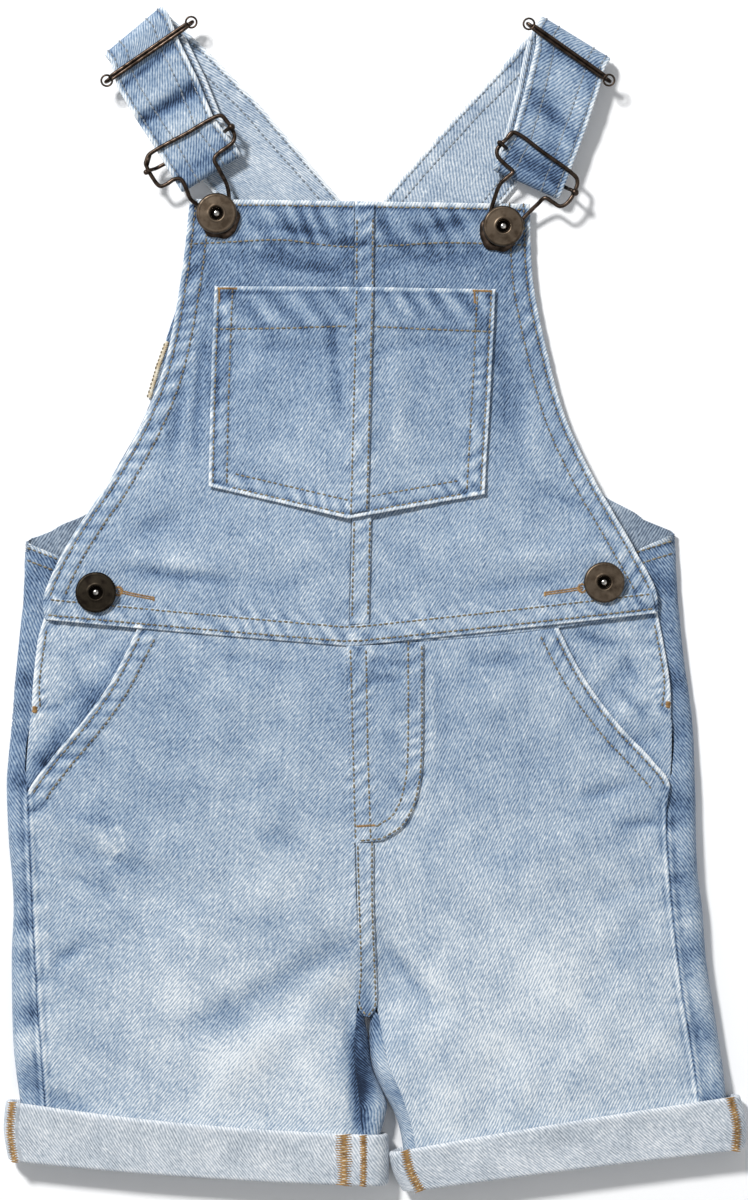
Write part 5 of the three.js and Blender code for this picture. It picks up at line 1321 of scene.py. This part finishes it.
def capsules(centre, along, normal, long, wide, rings=4, sides=6):
    a = np.linspace(-1, 1, rings)
    radius = np.sqrt(np.clip(1 - np.abs(a) ** 3, 0.10, 1))
    turn = np.arange(sides) * 2 * math.pi / sides
    side = np.cross(normal, along)
    long = np.broadcast_to(long, len(centre))[:, None, None, None] / 2
    ring = (centre[:, None, None] + along[:, None, None] * a[None, :, None, None] * long
            + side[:, None, None] * (wide * radius[:, None] * np.cos(turn))[None, ..., None]
            + normal[:, None, None] * (wide * (0.8 * radius[:, None] * np.sin(turn)
                                               - 0.9 * (a ** 4)[:, None]))[None, ..., None])
    points = ring.reshape(len(centre), -1, 3)
    quads, ids = quadGrid(rings, sides)
    ends = np.array([[ids[0, 0], ids[0, 5], ids[0, 4], ids[0, 3]],
                     [ids[0, 0], ids[0, 3], ids[0, 2], ids[0, 1]],
                     [ids[-1, 0], ids[-1, 1], ids[-1, 2], ids[-1, 3]],
                     [ids[-1, 0], ids[-1, 3], ids[-1, 4], ids[-1, 5]]])
    faces = np.concatenate([quads, ends])
    offset = (np.arange(len(centre)) * rings * sides)[:, None, None]
    return points.reshape(-1, 3), (faces[None] + offset).reshape(-1, 4)


def measured(place, line):
    # many points of a line, and how far along the surface each one lies
    line = np.asarray(line, float)
    stops = np.linspace(0, len(line) - 1, 30 * len(line))
    dense = np.stack([np.interp(stops, np.arange(len(line)), line[:, k]) for k in (0, 1)], 1)
    points = place(dense[:, 0], dense[:, 1])
    run = runOf(points)
    return dense, run


def frameOn(place, dense, run, where):
    at = lambda w: place(*(np.interp(w, run, dense[:, k]) for k in (0, 1)))
    centre, ahead = at(where), unit(at(where + 0.5) - at(where - 0.5))
    here = [np.interp(where, run, dense[:, k]) for k in (0, 1)]
    step = 0.3
    up = unit(np.cross(place(here[0] + step, here[1]) - centre, place(here[0], here[1] + step) - centre))
    return centre, ahead, unit(up - ahead * np.sum(up * ahead, 1, keepdims=True))


sewing = {}


def sewRow(group, place, line, pitch=None, long=None, wide=None, keep=None):
    pitch, long, wide = pitch or stitch["pitch"], long or stitch["long"], wide or stitch["wide"]
    dense, run = measured(place, line)
    where = np.arange(pitch * 0.5, run[-1], pitch)
    if len(where) == 0:
        return
    where = where + threadRandom.uniform(-1, 1, len(where)) * stitch["jitter"] * pitch * 0.5
    centre, ahead, normal = frameOn(place, dense, run, where)
    if keep is not None:
        mask = keep(centre[:, 0], centre[:, 1])
        centre, ahead, normal = centre[mask], ahead[mask], normal[mask]
    if len(centre) == 0:
        return
    drift = np.cross(normal, ahead) * threadRandom.uniform(-1, 1, (len(centre), 1)) * 0.06
    sizes = long * (1 + 0.12 * threadRandom.uniform(-1, 1, len(centre)))
    raised = centre + drift + normal * (wide - stitch["sink"]) * 0.5
    sewing.setdefault(group, []).append(capsules(raised, ahead, normal, sizes, wide))


def satin(group, place, line, long=None, pitch=None, wide=None):
    # close stitches side by side across a line, as on a buttonhole or a bar tack
    long, pitch, wide = long or tack["long"], pitch or tack["pitch"], wide or tack["wide"]
    dense, run = measured(place, line)
    where = np.arange(0, run[-1], pitch)
    centre, ahead, normal = frameOn(place, dense, run, where)
    lean = np.where(np.arange(len(where)) % 2 == 0, tack["slant"], -tack["slant"])[:, None]
    cross = unit(np.cross(normal, ahead) + ahead * lean)
    lengths = long * (1 + 0.15 * threadRandom.uniform(-1, 1, len(where)))
    raised = centre + normal * wide * 0.5
    sewing.setdefault(group, []).append(capsules(raised, cross, normal, lengths, wide))


def offButtons(x, y):
    clear = np.ones(np.shape(x), bool)
    for bx, by in buttonPlaces.values():
        clear &= np.hypot(x - bx, y - by) > stitch["clear"]
    return clear


bibTopSide = frontSurface(lift, bibNames, cloth["denim"])
shortsTop = frontSurface(lift, bodySeams, cloth["denim"])
bandTop = frontSurface(onPanel, bodySeams, cloth["band"])
pocketTop = frontSurface(onBib, pocketSeams, cloth["denim"])
pocketBandTop = frontSurface(onPocket, pocketSeams, cloth["band"])
aboveWaist = lambda x, y: offButtons(x, y) & (y > np.interp(x, (-134, -10, 116), (1.0, -9.5, 4.0)))
for inset in (stitchInset["outer"], stitchInset["inner"]):
    sewRow("topstitch_bib", bibTopSide, moved(bibLeftEdge, -inset), keep=aboveWaist)
    sewRow("topstitch_bib", bibTopSide, moved(bibRightEdge, inset), keep=aboveWaist)
topRow = moved(smoothLine(bibTop)[0], -stitchInset["hem"])[2:-2]
sewRow("topstitch_bib", bibTopSide, topRow, keep=offButtons)
hemLine = [(-76.8, 145.4), (-60, 146.2), (-38, 146.9), (-14, 144.2), (6, 144.6), (30, 145.8), (63.6, 144.9)]
sewRow("topstitch_bib", bibTopSide, smoothLine(hemLine)[0], keep=offButtons)
inPocket = lambda x, y: (y < 32) | (y > 129)
offPocket = lambda x, y: inPocket(x, y) & (y > -8)
for end, inset in (("a", -0.9), ("b", 0.6)):
    sewRow("topstitch_bib", bandTop, moved(edgeOf(bibSeamRows, end), inset)[1:-1], keep=offPocket)
    sewRow("topstitch_pocket", pocketBandTop, moved(edgeOf(pocketSeamRows, end), inset))
notSeam = lambda x, y: np.abs(x + 6.3) > 5
for inset in (stitchInset["pocket"], stitchInset["pocketInner"]):
    sewRow("topstitch_pocket", pocketTop, moved(pocketOutline["left"], -inset)[2:])
    sewRow("topstitch_pocket", pocketTop, moved(pocketOutline["right"], inset)[2:])
    sewRow("topstitch_pocket", pocketTop, moved(pocketOutline["foot"], inset)[3:-3], keep=notSeam)
sewRow("topstitch_pocket", pocketTop,
       smoothLine([(-66, 110.3), (-36, 110.6), (-8, 111.3), (20, 110.2), (48.4, 109.2)])[0], keep=notSeam)
for t in (0.9, 0.22):
    sewRow("topstitch_waist", bandTop, rowOf(waistRows, t), keep=offButtons)
clearWaist = lambda x, y: y < np.interp(x, (-107, -10, 86), (-15, -21, -14))
for inset in stitchInset["hip"]:
    sewRow("topstitch_shorts", shortsTop, moved(hipLeftEdge, -inset), keep=clearWaist)
    sewRow("topstitch_shorts", shortsTop, moved(hipRightEdge, inset), keep=clearWaist)
for line in ([(-10.0, -21), (-9.0, -60), (-8.0, -99)], [(-3.7, -21), (-3.0, -60), (-1.8, -98)]):
    sewRow("topstitch_shorts", bandTop, smoothLine(line)[0])
for end, inset in (("a", -0.8), ("b", 0.8)):
    sewRow("topstitch_shorts", bandTop, moved(edgeOf(frontSeamRows, end), inset))
jLine = np.concatenate([[(-7.6, -100.2)], edgeOf(flyRows, "b")])
for inset in stitchInset["fly"]:
    line = moved(smoothLine(jLine)[0], inset)
    inner = line[:, 0] > (-7.4 if inset < 1 else -0.5)
    sewRow("topstitch_shorts", bandTop, line[inner])
print("topstitching made")

ventTop = frontSurface(underPocketEdge, ["leftSide", "rightSide", "waist", "ventLeft", "ventRight"],
                       cloth["denim"])
sewRow("topstitch_shorts", ventTop, moved(smoothLine(ventLeft)[0], 2.6), keep=lambda x, y: y < -13)
sewRow("topstitch_shorts", ventTop, moved(smoothLine(ventRight)[0], -2.6), keep=lambda x, y: y < -10)

# Bar tacks and buttonholes in ochre thread
for line in ([(-64.4, 127.0), (-56.6, 126.9)], [(-64.0, 127.0), (-63.8, 121.4)],
             [(40.2, 126.0), (48.0, 125.8)], [(40.8, 125.6), (41.0, 121.0)]):
    satin("ochre_pocket", pocketTop, line, long=1.1)
satin("ochre_shorts", bandTop, [(-7.4, -93.4), (0.2, -93.0)], long=1.3)
for line in ([(-105.2, 2.8), (-98, 1.2), (-90.6, -0.2)], [(69.6, 1.8), (77, 2.8), (85.0, 4.0)]):
    path = smoothLine(line, 0.5)[0]
    for shift in (-0.42, 0.42):
        satin("ochre_buttonholes", bibTopSide, moved(path, shift), long=0.95, pitch=0.5)
    outwards = line[0] if line[0][0] < 0 else line[-1]
    eye = [(outwards[0] + 1.7 * math.cos(a),
            outwards[1] + 1.7 * math.sin(a)) for a in np.linspace(0, 2 * math.pi, 17)]
    satin("ochre_buttonholes", bibTopSide, eye, long=1.3, pitch=0.5)
    blind = line[-1] if line[0][0] < 0 else line[0]
    endTack = [(blind[0], blind[1] - 0.9), (blind[0], blind[1] + 0.9)]
    satin("ochre_buttonholes", bibTopSide, endTack, long=1.1)
for x, y in ((-139.4, -45.6), (120.2, -43.6)):
    satin("ochre_shorts", ventTop, [(x, y - 1.0), (x, y + 1.0)], long=2.2, wide=0.5)

# Overlocked edges on the cuffs: looper threads across, needle threads along both sides
overlock = {"pitch": 0.5, "wide": 0.27, "looperPitch": 1.9, "looperWide": 0.3}


def overlockBand(group, place, middle, width):
    middle = np.asarray(middle, float)
    satin(group, place, middle, long=width, pitch=overlock["pitch"], wide=overlock["wide"])
    # pale looper threads over the ochre ones
    satin(group.replace("overlock", "looper"), place, middle[2:-7], long=width * 0.5,
          pitch=overlock["looperPitch"], wide=overlock["looperWide"])


# rows taken from the lower rim upwards, so that the thread lies on the outside
cuffSides = {name: gridSurface(*(part[::-1] for part in shape), cloth["turnUp"] / 2)
             for name, shape in cuffShapes.items()}


def cuffColumn(name, x):
    # the column of a cuff's front that lies at x on its middle rim
    grid = cuffShapes[name][0]
    rowX = grid[grid.shape[0] // 2]
    front = rowX[:cuffLook["front"]]
    return float(np.interp(x, front, np.arange(len(front))))


# bands beyond these lie on the bends at the cuffs' outer ends
bendLeft, bendRight = -145, 144
rowsOfCuff = cuffLook["along"] - 1
for name, bands in (("cuff_left", ((-12.6, 6.6), (-4.6, 3.4), (-149.2, 4.2))),
                    ("cuff_right", ((10.5, 4.4), (146.5, 4.2)))):
    grid = cuffShapes[name][0]
    for x, width in bands:
        place = cuffSides[name]
        v = np.linspace(0.5, rowsOfCuff - 0.5, 24)
        if x < bendLeft:
            across = grid.shape[1] - 2.6
        elif x > bendRight:
            across = cuffLook["front"] + 1.6
        else:
            across = cuffColumn(name, x)
        overlockBand("overlock_" + name, place, np.stack([np.full(len(v), across), v], 1), width)
print("tacks, buttonholes and overlocking made")

# Strap stitching, along both edges
for name, grid in strapGrids.items():
    rows = np.arange(2, grid["x"].shape[0] - 2)
    wide = grid["widths"][rows, 0]
    count = grid["x"].shape[1] - 1
    s = grid["s"][0]
    for inset in strapLook["rows"]:
        for end in (inset / wide, 1 - inset / wide):
            columns = np.interp(end, s, np.arange(len(s)))
            line = np.stack([columns, rows.astype(float)], 1)
            sewRow("faded_straps", gridSurface(grid["x"], grid["y"], grid["z"], 0.6), line)
            # and the same row on the strap's other face
            mirrored = np.stack([count - columns, rows.astype(float)], 1)
            back = (grid[key][:, ::-1] for key in "xyz")
            sewRow("faded_straps", gridSurface(*back, 0.6), mirrored)


# Rows on the hems that wrap round the sides, and the overlocked edge that peeps out beside the bib
def flatSurface(height):
    return lambda x, y: np.stack([x, y, height(x, y)], -1)


for line in (wrapLeft, wrapRight):
    way = -1 if line[0][0] < 0 else 1
    strap = flatSurface(lambda x, y: sideStrip(x, y) + 0.62 + 0 * x)
    for inset in stitchInset["armholeBack"]:
        row = [(x - way * 1.0, y - inset) for x, y in line]
        sewRow("topstitch_back", strap, row)
armholeTop = flatSurface(lambda x, y: 1.35 + 0 * x)
armhole = [(-85.5, 105.4), (-89.2, 95.0), (-92.8, 82.6)]
satin("looper_armhole", armholeTop, armhole, long=1.9, pitch=0.42, wide=0.3)
sewRow("topstitch_armhole", armholeTop, [(x - 0.95, y - 0.3) for x, y in armhole], pitch=1.7, long=1.3)
print("strap stitching made")

threadOf = {"topstitch": topThread, "faded": fadedThread, "ochre": ochreThread, "overlock": ochreThread,
            "looper": creamThread}


def joined(parts):
    starts = np.cumsum([0] + [len(part[0]) for part in parts[:-1]])
    faces = [np.asarray(part[1]) + start for part, start in zip(parts, starts)]
    return np.concatenate([part[0] for part in parts]), np.concatenate(faces)


for group, parts in sewing.items():
    piece = newPiece(group, *joined(parts), {}, threadOf[group.split("_")[0]])
    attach(piece, "root")

# Hardware: shank buttons with a sunk centre, wire buckles hooked on the bib's buttons, and wire sliders on
# the straps. stand is how high a wire's middle lies over the cloth that carries it
button = {"disc": 8.4, "thick": 1.9, "shank": 2.4, "recess": 2.9, "deep": 1.1, "pin": 1.35, "around": 72}
buttonStand = {"button_bib_left": 2.9, "button_bib_right": 2.9, "button_side_left": 1.7,
               "button_side_right": 1.7}
wire = {"radius": 0.86, "sides": 14, "stand": 0.9, "bar": 0.8, "ball": 1.45}
slider = {"radius": 0.76, "apart": 0.72, "bend": 0.72, "ringRadius": 2.25, "ringWire": 0.42}
hookPlate = {"radius": 8.0, "hole": 3.4, "below": 0.55, "above": 0.15, "around": 96}
buckles = {
    "buckle_left": table(
        "x y over", (-93.7, 178.6, 1), (-91.6, 182.2, 1), (-77.6, 190, 1), (-64.2, 197.4, 1),
        (-60.8, 195.4, 1), (-57.6, 189.8, 1), (-58.4, 186.4, 1), (-64.2, 182, 1), (-65.8, 179.4, 1),
        (-63.8, 175.4, 0.95), (-60.6, 169, 0.45), (-59.8, 162.6, 0.08), (-60.2, 156.6, 0),
        (-64.9, 152.6, 0), (-69.8, 156.6, 0), (-72.4, 160.8, 0.06), (-75.6, 163.6, 0.4),
        (-77.4, 167.8, 0.95), (-79.4, 171.4, 1), (-82.2, 171.4, 1), (-85.7, 169.2, 1), (-88.4, 168.8, 1),
        (-91.6, 173, 1), (-93.5, 176.8, 1)),
    "buckle_right": table(
        "x y over", (53.4, 187.4, 1), (57.2, 190.6, 1), (69.2, 182.2, 1), (81, 173.6, 1), (82.9, 170.2, 1),
        (81, 164.8, 1), (78.3, 161.4, 1), (75.6, 160.4, 1), (73.2, 161.8, 0.95), (69.6, 163.8, 0.9),
        (66.6, 161.4, 0.5), (62, 157, 0.15), (57.8, 152.4, 0), (52.8, 147.2, 0), (48, 151.4, 0),
        (47.6, 158.2, 0.04), (49, 163.8, 0.3), (51.2, 169.4, 0.8), (54.8, 172.8, 1), (56.4, 174.6, 1),
        (53.5, 177.4, 1), (50.4, 180.6, 1), (50, 183.4, 1), (51.8, 186, 1)),
}
bucklePlates = {"buckle_left": (-63.6, 155.4), "buckle_right": (50.8, 150.0)}
knobOf = {"buckle_left": "button_bib_left", "buckle_right": "button_bib_right"}
crossBars = {"buckle_bar_left": ((-93.6, 174.2), (-58.8, 192.6)),
             "buckle_bar_right": ((51.0, 186.2), (81.8, 166.0))}
sliders = {"slider_left": ((-109.2, 212.2), (-75.8, 235.3)), "slider_right": ((63.6, 234.6), (95.2, 212.4))}
barHeight = (strapHeight["front"] + strapHeight["under"]) / 2
overStrap = strapHeight["front"] + cloth["denim"] / 2 + cloth["apart"] + wire["stand"]


def smoothWire(points, step=0.45, closed=False):
    points = np.asarray(points, float)
    if closed:
        points = np.concatenate([points[-2:], points, points[:3]])
    gaps = np.sqrt(np.linalg.norm(np.diff(points, axis=0), axis=1))
    knots = np.concatenate([[0], np.cumsum(gaps)])
    out = []
    for k in range(1, len(points) - 2) if closed else range(len(points) - 1):
        a, b = points[k], points[k + 1]
        before, after = points[max(k - 1, 0)], points[min(k + 2, len(points) - 1)]
        t0, t1, t2, t3 = (knots[max(min(j, len(points) - 1), 0)] for j in (k - 1, k, k + 1, k + 2))
        span = t2 - t1
        ma = (b - before) / max(t2 - t0, 1e-6) * span
        mb = (after - a) / max(t3 - t1, 1e-6) * span
        steps = max(2, int(np.linalg.norm(b - a) / step))
        f = np.linspace(0, 1, steps, endpoint=False)[:, None]
        out.append(hermite(a, b, ma, mb, f))
    if not closed:
        out.append(points[-1:])
    return np.concatenate(out)


def tube(line, radius, sides=None, closed=False):
    sides = sides or wire["sides"]
    line = np.asarray(line, float)
    count = len(line)
    ahead = unit(np.roll(line, -1, 0) - np.roll(line, 1, 0) if closed else np.gradient(line, axis=0))
    side = np.empty_like(line)
    start = np.array([0, 0, 1.0]) if abs(ahead[0, 2]) < 0.9 else np.array([1.0, 0, 0])
    side[0] = np.cross(ahead[0], start)
    for k in range(1, count):
        side[k] = side[k - 1] - ahead[k] * np.dot(side[k - 1], ahead[k])
    side = unit(side)
    up = np.cross(side, ahead)
    if closed:
        # the frame turns a little as it goes, so that its end meets its start
        slip = math.atan2(np.dot(side[-1], up[0]), np.dot(side[-1], side[0]))
        twist = -np.linspace(0, slip, count)[:, None]
        side, up = side * np.cos(twist) + up * np.sin(twist), up * np.cos(twist) - side * np.sin(twist)
    turn = np.arange(sides) * 2 * math.pi / sides
    radius = np.broadcast_to(radius, count)[:, None, None]
    ring = line[:, None] + radius * (side[:, None] * np.cos(turn)[None, :, None]
                                     + up[:, None] * np.sin(turn)[None, :, None])
    quads, ids = quadGrid(count, sides, closed)
    points = ring.reshape(-1, 3)
    if closed:
        return points, quads
    points = np.concatenate([points, line[:1] - ahead[:1] * radius[0, 0] * 0.5,
                             line[-1:] + ahead[-1:] * radius[-1, 0] * 0.5])
    first, last = count * sides, count * sides + 1
    caps = [[first, ids[0, (k + 1) % sides], ids[0, k], ids[0, k]] for k in range(sides)]
    caps += [[last, ids[-1, k], ids[-1, (k + 1) % sides], ids[-1, (k + 1) % sides]] for k in range(sides)]
    return points, np.concatenate([quads, caps])


def lathe(profile, place, axis=(0, 0, 1), around=None):
    around = around or button["around"]
    axis = unit(np.asarray(axis, float))
    side = unit(np.cross(axis, (0.3, 0.2, 0.9) if abs(axis[2]) < 0.9 else (1.0, 0, 0)))
    up = np.cross(axis, side)
    profile = np.asarray(profile, float)
    turn = np.arange(around) * 2 * math.pi / around
    out = side[None] * np.cos(turn)[:, None] + up[None] * np.sin(turn)[:, None]
    ring = np.asarray(place, float) + profile[:, None, :1] * out[None] + profile[:, None, 1:2] * axis
    return ring.reshape(-1, 3), quadGrid(len(profile), around)[0]


def rounded(profile, radius=0.3, steps=4):
    # corners of a lathe profile cut by small arcs, so that the metal has no sharp edge
    profile = [np.asarray(p, float) for p in profile]
    out = [profile[0]]
    for before, here, after in zip(profile[:-2], profile[1:-1], profile[2:]):
        a, b = before - here, after - here
        reach = min(radius, 0.45 * np.linalg.norm(a), 0.45 * np.linalg.norm(b))
        a, b = here + unit(a) * reach, here + unit(b) * reach
        for f in np.linspace(0, 1, steps):
            out.append(a * (1 - f) ** 2 + here * 2 * f * (1 - f) + b * f ** 2)
    out.append(profile[-1])
    return out


def metalPiece(name, parts, material, node):
    points, faces = joined(parts)
    # a corner named twice makes a triangle
    rows = [list(dict.fromkeys(face)) for face in faces.tolist()]
    piece = newPiece(name, points, np.array(rows, object), {}, material)
    if node:
        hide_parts(node)
    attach(piece, "root")


for name, stand in buttonStand.items():
    x, y = buttonPlaces[name]
    base = float(lift(x, y)) + cloth["denim"] / 2 + cloth["apart"]
    disc, top, recess = button["disc"], stand + button["thick"], button["recess"]
    floor = top - button["deep"]
    profile = [(0.01, 0), (button["shank"], 0), (button["shank"] * 0.9, stand), (disc - 0.8, stand),
               (disc, stand + 0.7), (disc - 0.05, top - 0.45), (disc - 0.7, top + 0.12),
               (disc - 1.5, top + 0.08),
               (disc - 2.1, top + 0.12), (recess + 1.0, top + 0.26), (recess + 0.45, top + 0.42),
               (recess, top + 0.28), (recess - 0.25, top - 0.3), (recess - 0.4, floor), (0.01, floor)]
    # the left side button is the darkest of the four
    brass = sideBrass if name == "button_side_left" else bibBrass
    metalPiece(name + "_brass", [lathe(rounded(profile), (x, y, base))], brass, name)
    dome = [(0.01, floor - 0.2), (button["pin"], floor - 0.2), (button["pin"], floor + 0.25),
            (button["pin"] * 0.93, floor + 0.55), (button["pin"] * 0.7, floor + 0.82),
            (button["pin"] * 0.38, floor + 0.95), (0.01, floor + 1.0)]
    pin = lathe(rounded(dome, 0.12), (x, y, base), around=32)
    metalPiece(name + "_pin", [pin], nickel, None)
    # a black sheet at the well's foot: painted shade round the pin
    well = [(0.01, floor + 0.05), (recess - 0.42, floor + 0.05), (recess - 0.3, top - 0.28)]
    metalPiece(name + "_well", [lathe(well, (x, y, base), around=48)], wellShade, None)
print("buttons made")


def platePart(px, py, height):
    # the hook's flattened, wavy plate round the shank, seen past the button's rim
    count = hookPlate["around"]
    turn = np.linspace(0, 2 * math.pi, count, endpoint=False)
    outer = hookPlate["radius"] + 0.34 * np.sin(5 * turn + 0.6) + 0.16 * np.sin(8 * turn)
    low, high = height - hookPlate["below"], height + hookPlate["above"]
    rings = [(hookPlate["hole"], low), (outer - 0.15, low), (outer, (low + high) / 2), (outer - 0.15, high),
             (hookPlate["hole"], high)]
    plate = np.stack([np.stack([px + r * np.cos(turn), py + r * np.sin(turn), np.full(count, h)], 1)
                      for r, h in rings])
    return plate.reshape(-1, 3), quadGrid(len(rings), count, closed=True)[0]


for name, path in buckles.items():
    x, y = buttonPlaces[knobOf[name]]
    onBibWire = float(lift(x, y)) + cloth["denim"] / 2 + cloth["apart"] + wire["stand"]
    z = onBibWire + (overStrap - onBibWire) * path["over"]
    line = smoothWire(np.stack([path["x"], path["y"], z], 1), closed=True)
    bumps = 1 + 0.04 * noiseAt(line[:, 0] / 2, line[:, 1] / 2)
    parts = [tube(line, wire["radius"] * bumps, closed=True), platePart(*bucklePlates[name], onBibWire)]
    metalPiece(name + "_wire", parts, plating, name)

for name, (start, end) in crossBars.items():
    # between the strap's two layers, then up over the frame's wire at both ends
    start, end = np.array([*start, barHeight]), np.array([*end, barHeight])
    way = unit(end - start)
    up = np.array([0, 0, 1.0])
    rod = [start + up * 4.9, start + way * 1.8 + up * 4.5, start + way * 4.4 + up * 0.4, start + way * 8,
           (start + end) / 2, end - way * 8, end - way * 4.4 + up * 0.4, end - way * 1.8 + up * 4.5,
           end + up * 4.9]
    parts = [tube(smoothWire(rod, 0.4), wire["bar"])]
    for centre, ball in ((start + up * 4.9, wire["ball"] * 0.8), (end + up * 4.9, wire["ball"] * 1.12)):
        arc = [(ball * math.sin(a), -ball * math.cos(a)) for a in np.linspace(0.04, 3.1, 14)]
        parts.append(lathe(arc, centre, way, around=22))
    metalPiece(name + "_rod", parts, plating, name)

for name, (start, end) in sliders.items():
    start, end = np.array([*start, overStrap]), np.array([*end, overStrap])
    way = unit(end - start)
    side = np.array([-way[1], way[0], 0])
    parts = []
    for offset in (-slider["apart"], slider["apart"]):
        f = np.linspace(0.02, 0.98, 60)[:, None]
        line = start + (end - start) * f + side * offset
        line[:, 2] += 0.05 * np.sin(9 * f[:, 0] + offset)
        # both ends are rounded off
        parts.append(tube(line, slider["radius"] * np.sqrt(np.clip(1 - (2 * f[:, 0] - 1) ** 14, 0.1, 1))))
    down = np.array([0, 0, barHeight - overStrap])
    for point, outward in ((start, -way), (end, way)):
        # from the upper rods round the strap's edge to the rod between its layers
        bend = smoothWire([point - outward * 0.8, point + outward * 1.0 + down * 0.12,
                           point + outward * 1.35 + down * 0.5, point + outward * 0.6 + down * 0.93,
                           point - outward * 3.0 + down])
        parts.append(tube(bend, slider["bend"]))
        turn = np.linspace(0, 2 * math.pi, 41)[:-1, None]
        eye = point + outward * 0.7 + slider["ringRadius"] * (np.cos(turn) * way + np.sin(turn) * side)
        eye[:, 2] += 0.25
        parts.append(tube(eye, slider["ringWire"], sides=10, closed=True))
    f = np.linspace(0.06, 0.94, 30)[:, None]
    parts.append(tube(start + down + (end - start) * f, slider["radius"]))
    metalPiece(name + "_wire", parts, plating, name)
print("buckles and sliders made")
